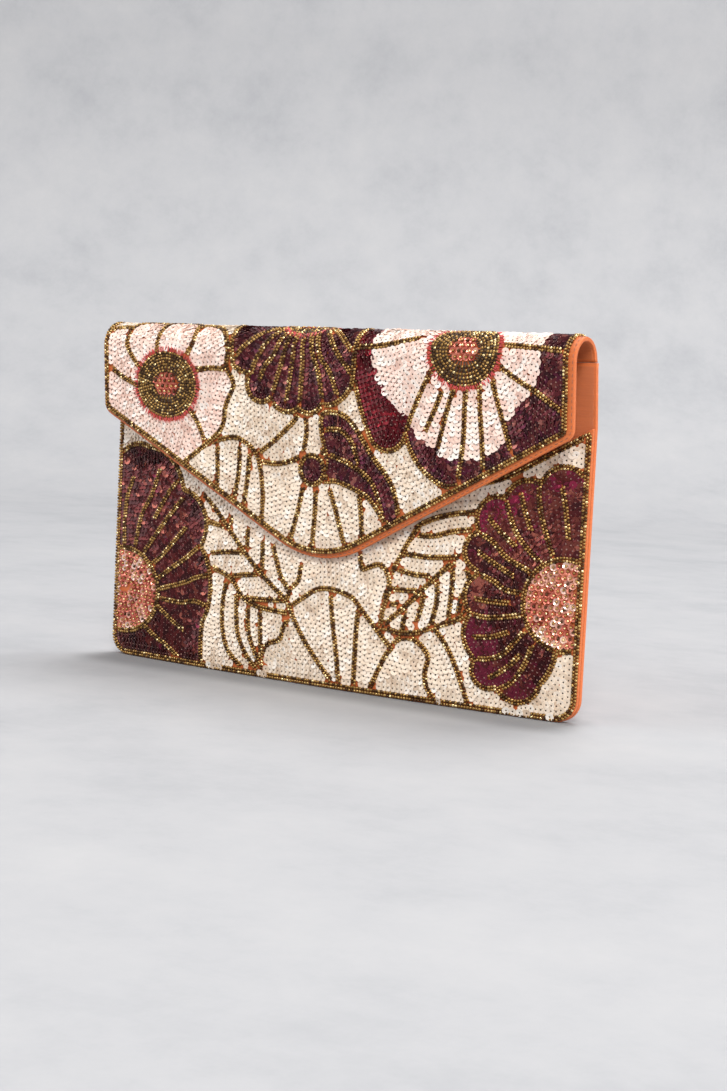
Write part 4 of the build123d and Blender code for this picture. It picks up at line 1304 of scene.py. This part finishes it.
outside_rings = outside(*[ellipse(ring) for ring, _ in RINGS])
in_flap_flowers = all_of(in_flap, outside_rings)
beside_fold_flower = all_of(in_flap_flowers, outside(fold_flower))
off_flowers = all_of(in_flap, outside(blush_flower, fold_flower, right_flap_flower))
off_bud = all_of(off_flowers, outside(ellipse(BUD)))
on_flap_ground = all_of(off_bud, outside(leaf))
add_beads("flap_fold_flower_beads", flap, flap.bead_lines(fold_lines, in_flap_flowers))
add_beads("flap_blush_flower_beads", flap, flap.bead_lines(blush_lines, beside_fold_flower))
add_beads("flap_right_flower_beads", flap, flap.bead_lines(right_flap_lines, beside_fold_flower))
add_beads("flap_leaf_beads", flap,
          np.vstack([flap.bead_lines([bud_line], off_flowers), flap.bead_lines(leaf_lines, off_bud)]))
add_beads("flap_line_beads", flap, flap.bead_lines(flap_ground_lines, on_flap_ground))
flap.finish_guides()

sequin_field("flap_ivory_sequin_rows", "flap_ivory_sequins", flap, "ivory_sequins", ivory_shades, IVORY_MIX,
             [flap_band, blush_line, blush_top, leaf_rim, fold_flower] + right_flap_rim + [bud_line]
             + flap_ground_lines, on_flap_ground, WIDE_ROWS)
sequin_field("flap_blush_sequin_rows", "flap_blush_flower_sequins", flap, "blush_sequins", blush_shades,
             (0.32, 0.16, 0.24, 0.06, 0.14, 0.08), [flap_band, ellipse(BLUSH_RING, 0.4)] + blush_lines,
             all_of(beside_fold_flower, within(blush_flower)), WIDE_ROWS)
sequin_field("flap_fold_flower_sequin_rows", "flap_fold_flower_sequins", flap, "burgundy_sequins",
             plum_shades, PLUM_MIX, [flap_band, ellipse(FOLD_RING, 0.4)] + fold_lines,
             all_of(in_flap_flowers, within(fold_flower)), CLOSE_ROWS)

in_right_flower = all_of(beside_fold_flower, within(right_flap_flower))
petal_guides = [flap_band, ellipse(RIGHT_FLAP_RING, 0.4)] + right_flap_lines
heart_rows = sequin_field("flap_heart_sequin_rows", "flap_right_heart_sequins", flap, "blush_sequins",
                          blush_shades, (0.26, 0.1, 0.28, 0.04, 0.24, 0.08), petal_guides + [heart],
                          all_of(in_right_flower, within(heart)), WIDE_ROWS, HEART_LIFT)
heart_sequins = Spacing(HEART_SPACING, heart_rows[:, :2])


def off_heart(places):
    """True for each place that the heart's sequins don't cover."""
    return np.array([not heart_sequins.near(x, h) for x, h in places], bool)


rows = flap.sequin_rows(petal_guides, all_of(in_right_flower, outside(heart), off_heart), **CLOSE_ROWS)
shades = draw_shades(rows, (0.34, 0.2, 0.2, 0.14, 0.06, 0.06))
red_petal = np.vstack([chain(RIGHT_FLAP_PETAL), RIGHT_FLAP_PETAL_CLOSE])
# The red sequins have the plum ones' hole.
plum_and_red = plum_shades + red_shades[1:]
shades += len(plum_shades[1:]) * inside(rows[:, :2], red_petal)
add_sequins("flap_right_petal_sequin_rows", "flap_right_petal_sequins", flap, rows, "burgundy_sequins",
            plum_and_red, shades)

in_leaf = all_of(off_bud, within(leaf))
in_bud = all_of(off_flowers, within(ellipse(BUD, -1.2)))
sequin_field("flap_leaf_sequin_rows", "flap_bud_leaf_sequins", flap, "burgundy_sequins", plum_shades,
             PLUM_MIX, leaf_lines + [bud_line], lambda places: in_leaf(places) | in_bud(places),
             CLOSE_ROWS)


def eye_places(eye):
    """Staggered places in a flower's eye."""
    across, up = np.meshgrid(np.arange(-8, 9, EYE_PITCH), np.arange(-6, 7, EYE_ROW))
    across[1::2] += 1.3
    places = np.stack([eye[0] + across.ravel(), eye[1] + up.ravel()], -1)
    return places[inside(places, ellipse(eye))]


places = np.vstack([eye_places(eye) for _, eye in RINGS])
rows = np.column_stack([places, random.uniform(0, math.tau, len(places))])
add_sequins("flap_eye_cups", "flap_eye_sequins", flap, rows, "coral_sequins", coral_shades,
            draw_shades(rows, (0.4, 0.2, 0.2, 0.1, 0.1, 0)), CUP, tilt=0.1, lift=0.1)
add_copies("flap_eye_beads", BEAD, flap.panel, rows, 0.8, "gold_beads", bead_tones_with_painted_light,
           random.choice(4, len(rows)), size=0.9)


def fringe(ring):
    """Short threads that stand out round a ring."""
    count = FRINGE_COUNT
    turn = np.arange(count) / count * math.tau + random.normal(0, 0.015, count)
    across, up, half_width, half_height = ring
    grow = 1 + random.normal(0, 0.35, count)
    x = across + (half_width + grow) * np.cos(turn)
    h = up + (half_height + grow) * np.sin(turn)
    angle = np.arctan2(np.sin(turn) / half_height, np.cos(turn) / half_width) + random.normal(0, 0.16, count)
    return np.column_stack([x, h, angle])


rows = np.vstack([fringe(ring) for ring, _ in RINGS])
rows = rows[in_flap(rows[:, :2])]
add_copies("flap_ring_fringe", THREAD, flap.panel, rows, 0.75, "coral_sequins", [red_thread],
           tilts=random.normal(0.06, 0.06, len(rows)))

# ---- Carried-over pieces ----
for material, nodes in (
    (grey_card, ["front_board", "back_board", "flap_board", "base_board"]),
    (felt, ["fold_interlining"]),
    (snap_brass, ["snap_socket_case", "snap_socket_washer", "snap_stud_plate", "snap_stud_washer"]),
    (magnet_iron, ["snap_socket_magnet"]),
):
    for node in nodes:
        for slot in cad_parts[node].material_slots:
            slot.material = material


# ---- Stage, light and camera ----
CAMERA_YAW, CAMERA_PITCH, CAMERA_ROLL = (math.radians(degrees) for degrees in (33.3, 4.9, 2.8))
CAMERA_TARGET = Vector((0.0148, 0.0108, 0.0647))
CAMERA_DISTANCE = 0.8038
LENS, SENSOR = 59.4, 36


def painted_foot_shadow(material, half_size, reach, least):
    """Paints a soft shadow into the ground's colour round the purse's foot, where little light gets in."""
    colour = material.node_tree.nodes["Principled BSDF"].inputs["Base Color"].links[0].from_socket
    separate = add_node(material, "SeparateXYZ", place_on(material))
    beyond = add_node(material, "CombineXYZ")
    for axis, half in zip("XY", half_size):
        size = add_node(material, "Math", separate.outputs[axis], operation="ABSOLUTE").outputs["Value"]
        past = add_node(material, "Math", size, half, operation="SUBTRACT").outputs["Value"]
        past = add_node(material, "Math", past, 0, operation="MAXIMUM").outputs["Value"]
        feed(material, beyond.inputs[axis], past)
    distance = add_node(material, "VectorMath", beyond.outputs["Vector"], operation="LENGTH").outputs["Value"]
    light = spread(material, distance, least, 1, interpolation_type="SMOOTHSTEP", From_Max=reach)
    shaded = add_node(material, "VectorMath", colour, operation="SCALE", Scale=light)
    set_shader(material, Base_Color=shaded.outputs["Vector"])


plaster = mottled_material(
    "plaster", [(0.3, (0.338, 0.342, 0.358)), (0.5, (0.390, 0.391, 0.404)), (0.7, (0.424, 0.422, 0.430))],
    9, (0.75, 0.9), 0.05, grain=0.74,
)
# Painted shadow on the ground round the purse's foot.
painted_foot_shadow(plaster, (0.118, 0.008), 0.02, 0.65)


def backdrop():
    """A floor that curves up into a wall behind, turned to face the camera, in metres."""
    near, far, bend, top, half_width = -14.0, 1.1, 0.6, 4.0, 12.0
    profile = [(near, 0.0), (far, 0.0)]
    profile += [(far + bend * math.sin(angle), bend - bend * math.cos(angle))
                for angle in np.linspace(0.1, math.pi / 2, 14)]
    profile += [(far + bend, top)]
    count = len(profile)
    cos, sin = math.cos(CAMERA_YAW), math.sin(CAMERA_YAW)
    turn = np.array([[cos, sin, 0], [-sin, cos, 0], [0, 0, 1]])
    sides = (-half_width, half_width)
    points = np.array([(side, away, height) for side in sides for away, height in profile]) @ turn / MM
    faces = [[i, i + count, i + count + 1, i + 1] for i in range(count - 1)]
    return mesh_object("backdrop", points, faces, plaster)


backdrop()

for name, place, size, power, colour in (
    ("key", (1.5, -2.2, 2.3), (1.1, 1.1), 89, (1, 0.985, 0.96)),
    ("fill", (-2.6, -1.8, 1.6), (2.4, 2.0), 34, (0.98, 0.99, 1)),
    ("side", (2.4, 0.1, 0.7), (1.2, 1.2), 38, (1, 0.99, 0.97)),
    ("top", (0.1, 1.2, 2.9), (1.5, 1.5), 66, (1, 1, 1)),
):
    light = bpy.data.lights.new(name, "AREA")
    light.shape = "RECTANGLE"
    light.size, light.size_y = size
    light.energy = power
    light.color = colour
    lamp = linked(name, light)
    lamp.location = place
    lamp.rotation_euler = (Vector((0, 0, 0.08)) - Vector(place)).to_track_quat("-Z", "Y").to_euler()

scene = bpy.context.scene
scene.view_settings.view_transform = "Standard"
scene.world = bpy.data.worlds.new("studio")
scene.world.use_nodes = True
sky = scene.world.node_tree.nodes["Background"]
sky.inputs["Color"].default_value = (0.97, 0.98, 1, 1)
sky.inputs["Strength"].default_value = 0.45


def make_camera():
    cos, sin = math.cos(CAMERA_YAW), math.sin(CAMERA_YAW)
    level = math.cos(CAMERA_PITCH)
    ahead = Vector((-sin * level, cos * level, -math.sin(CAMERA_PITCH)))
    right = Vector((cos, sin, 0))
    up = right.cross(ahead)
    across = math.cos(CAMERA_ROLL) * right + math.sin(CAMERA_ROLL) * up
    upwards = math.cos(CAMERA_ROLL) * up - math.sin(CAMERA_ROLL) * right
    data = bpy.data.cameras.new("camera")
    data.lens = LENS
    data.sensor_width = SENSOR
    data.clip_start = 0.01
    camera = linked("camera", data)
    matrix = Matrix((across, upwards, -ahead)).transposed().to_4x4()
    matrix.translation = CAMERA_TARGET - ahead * CAMERA_DISTANCE
    camera.matrix_world = matrix
    return camera


scene.camera = make_camera()
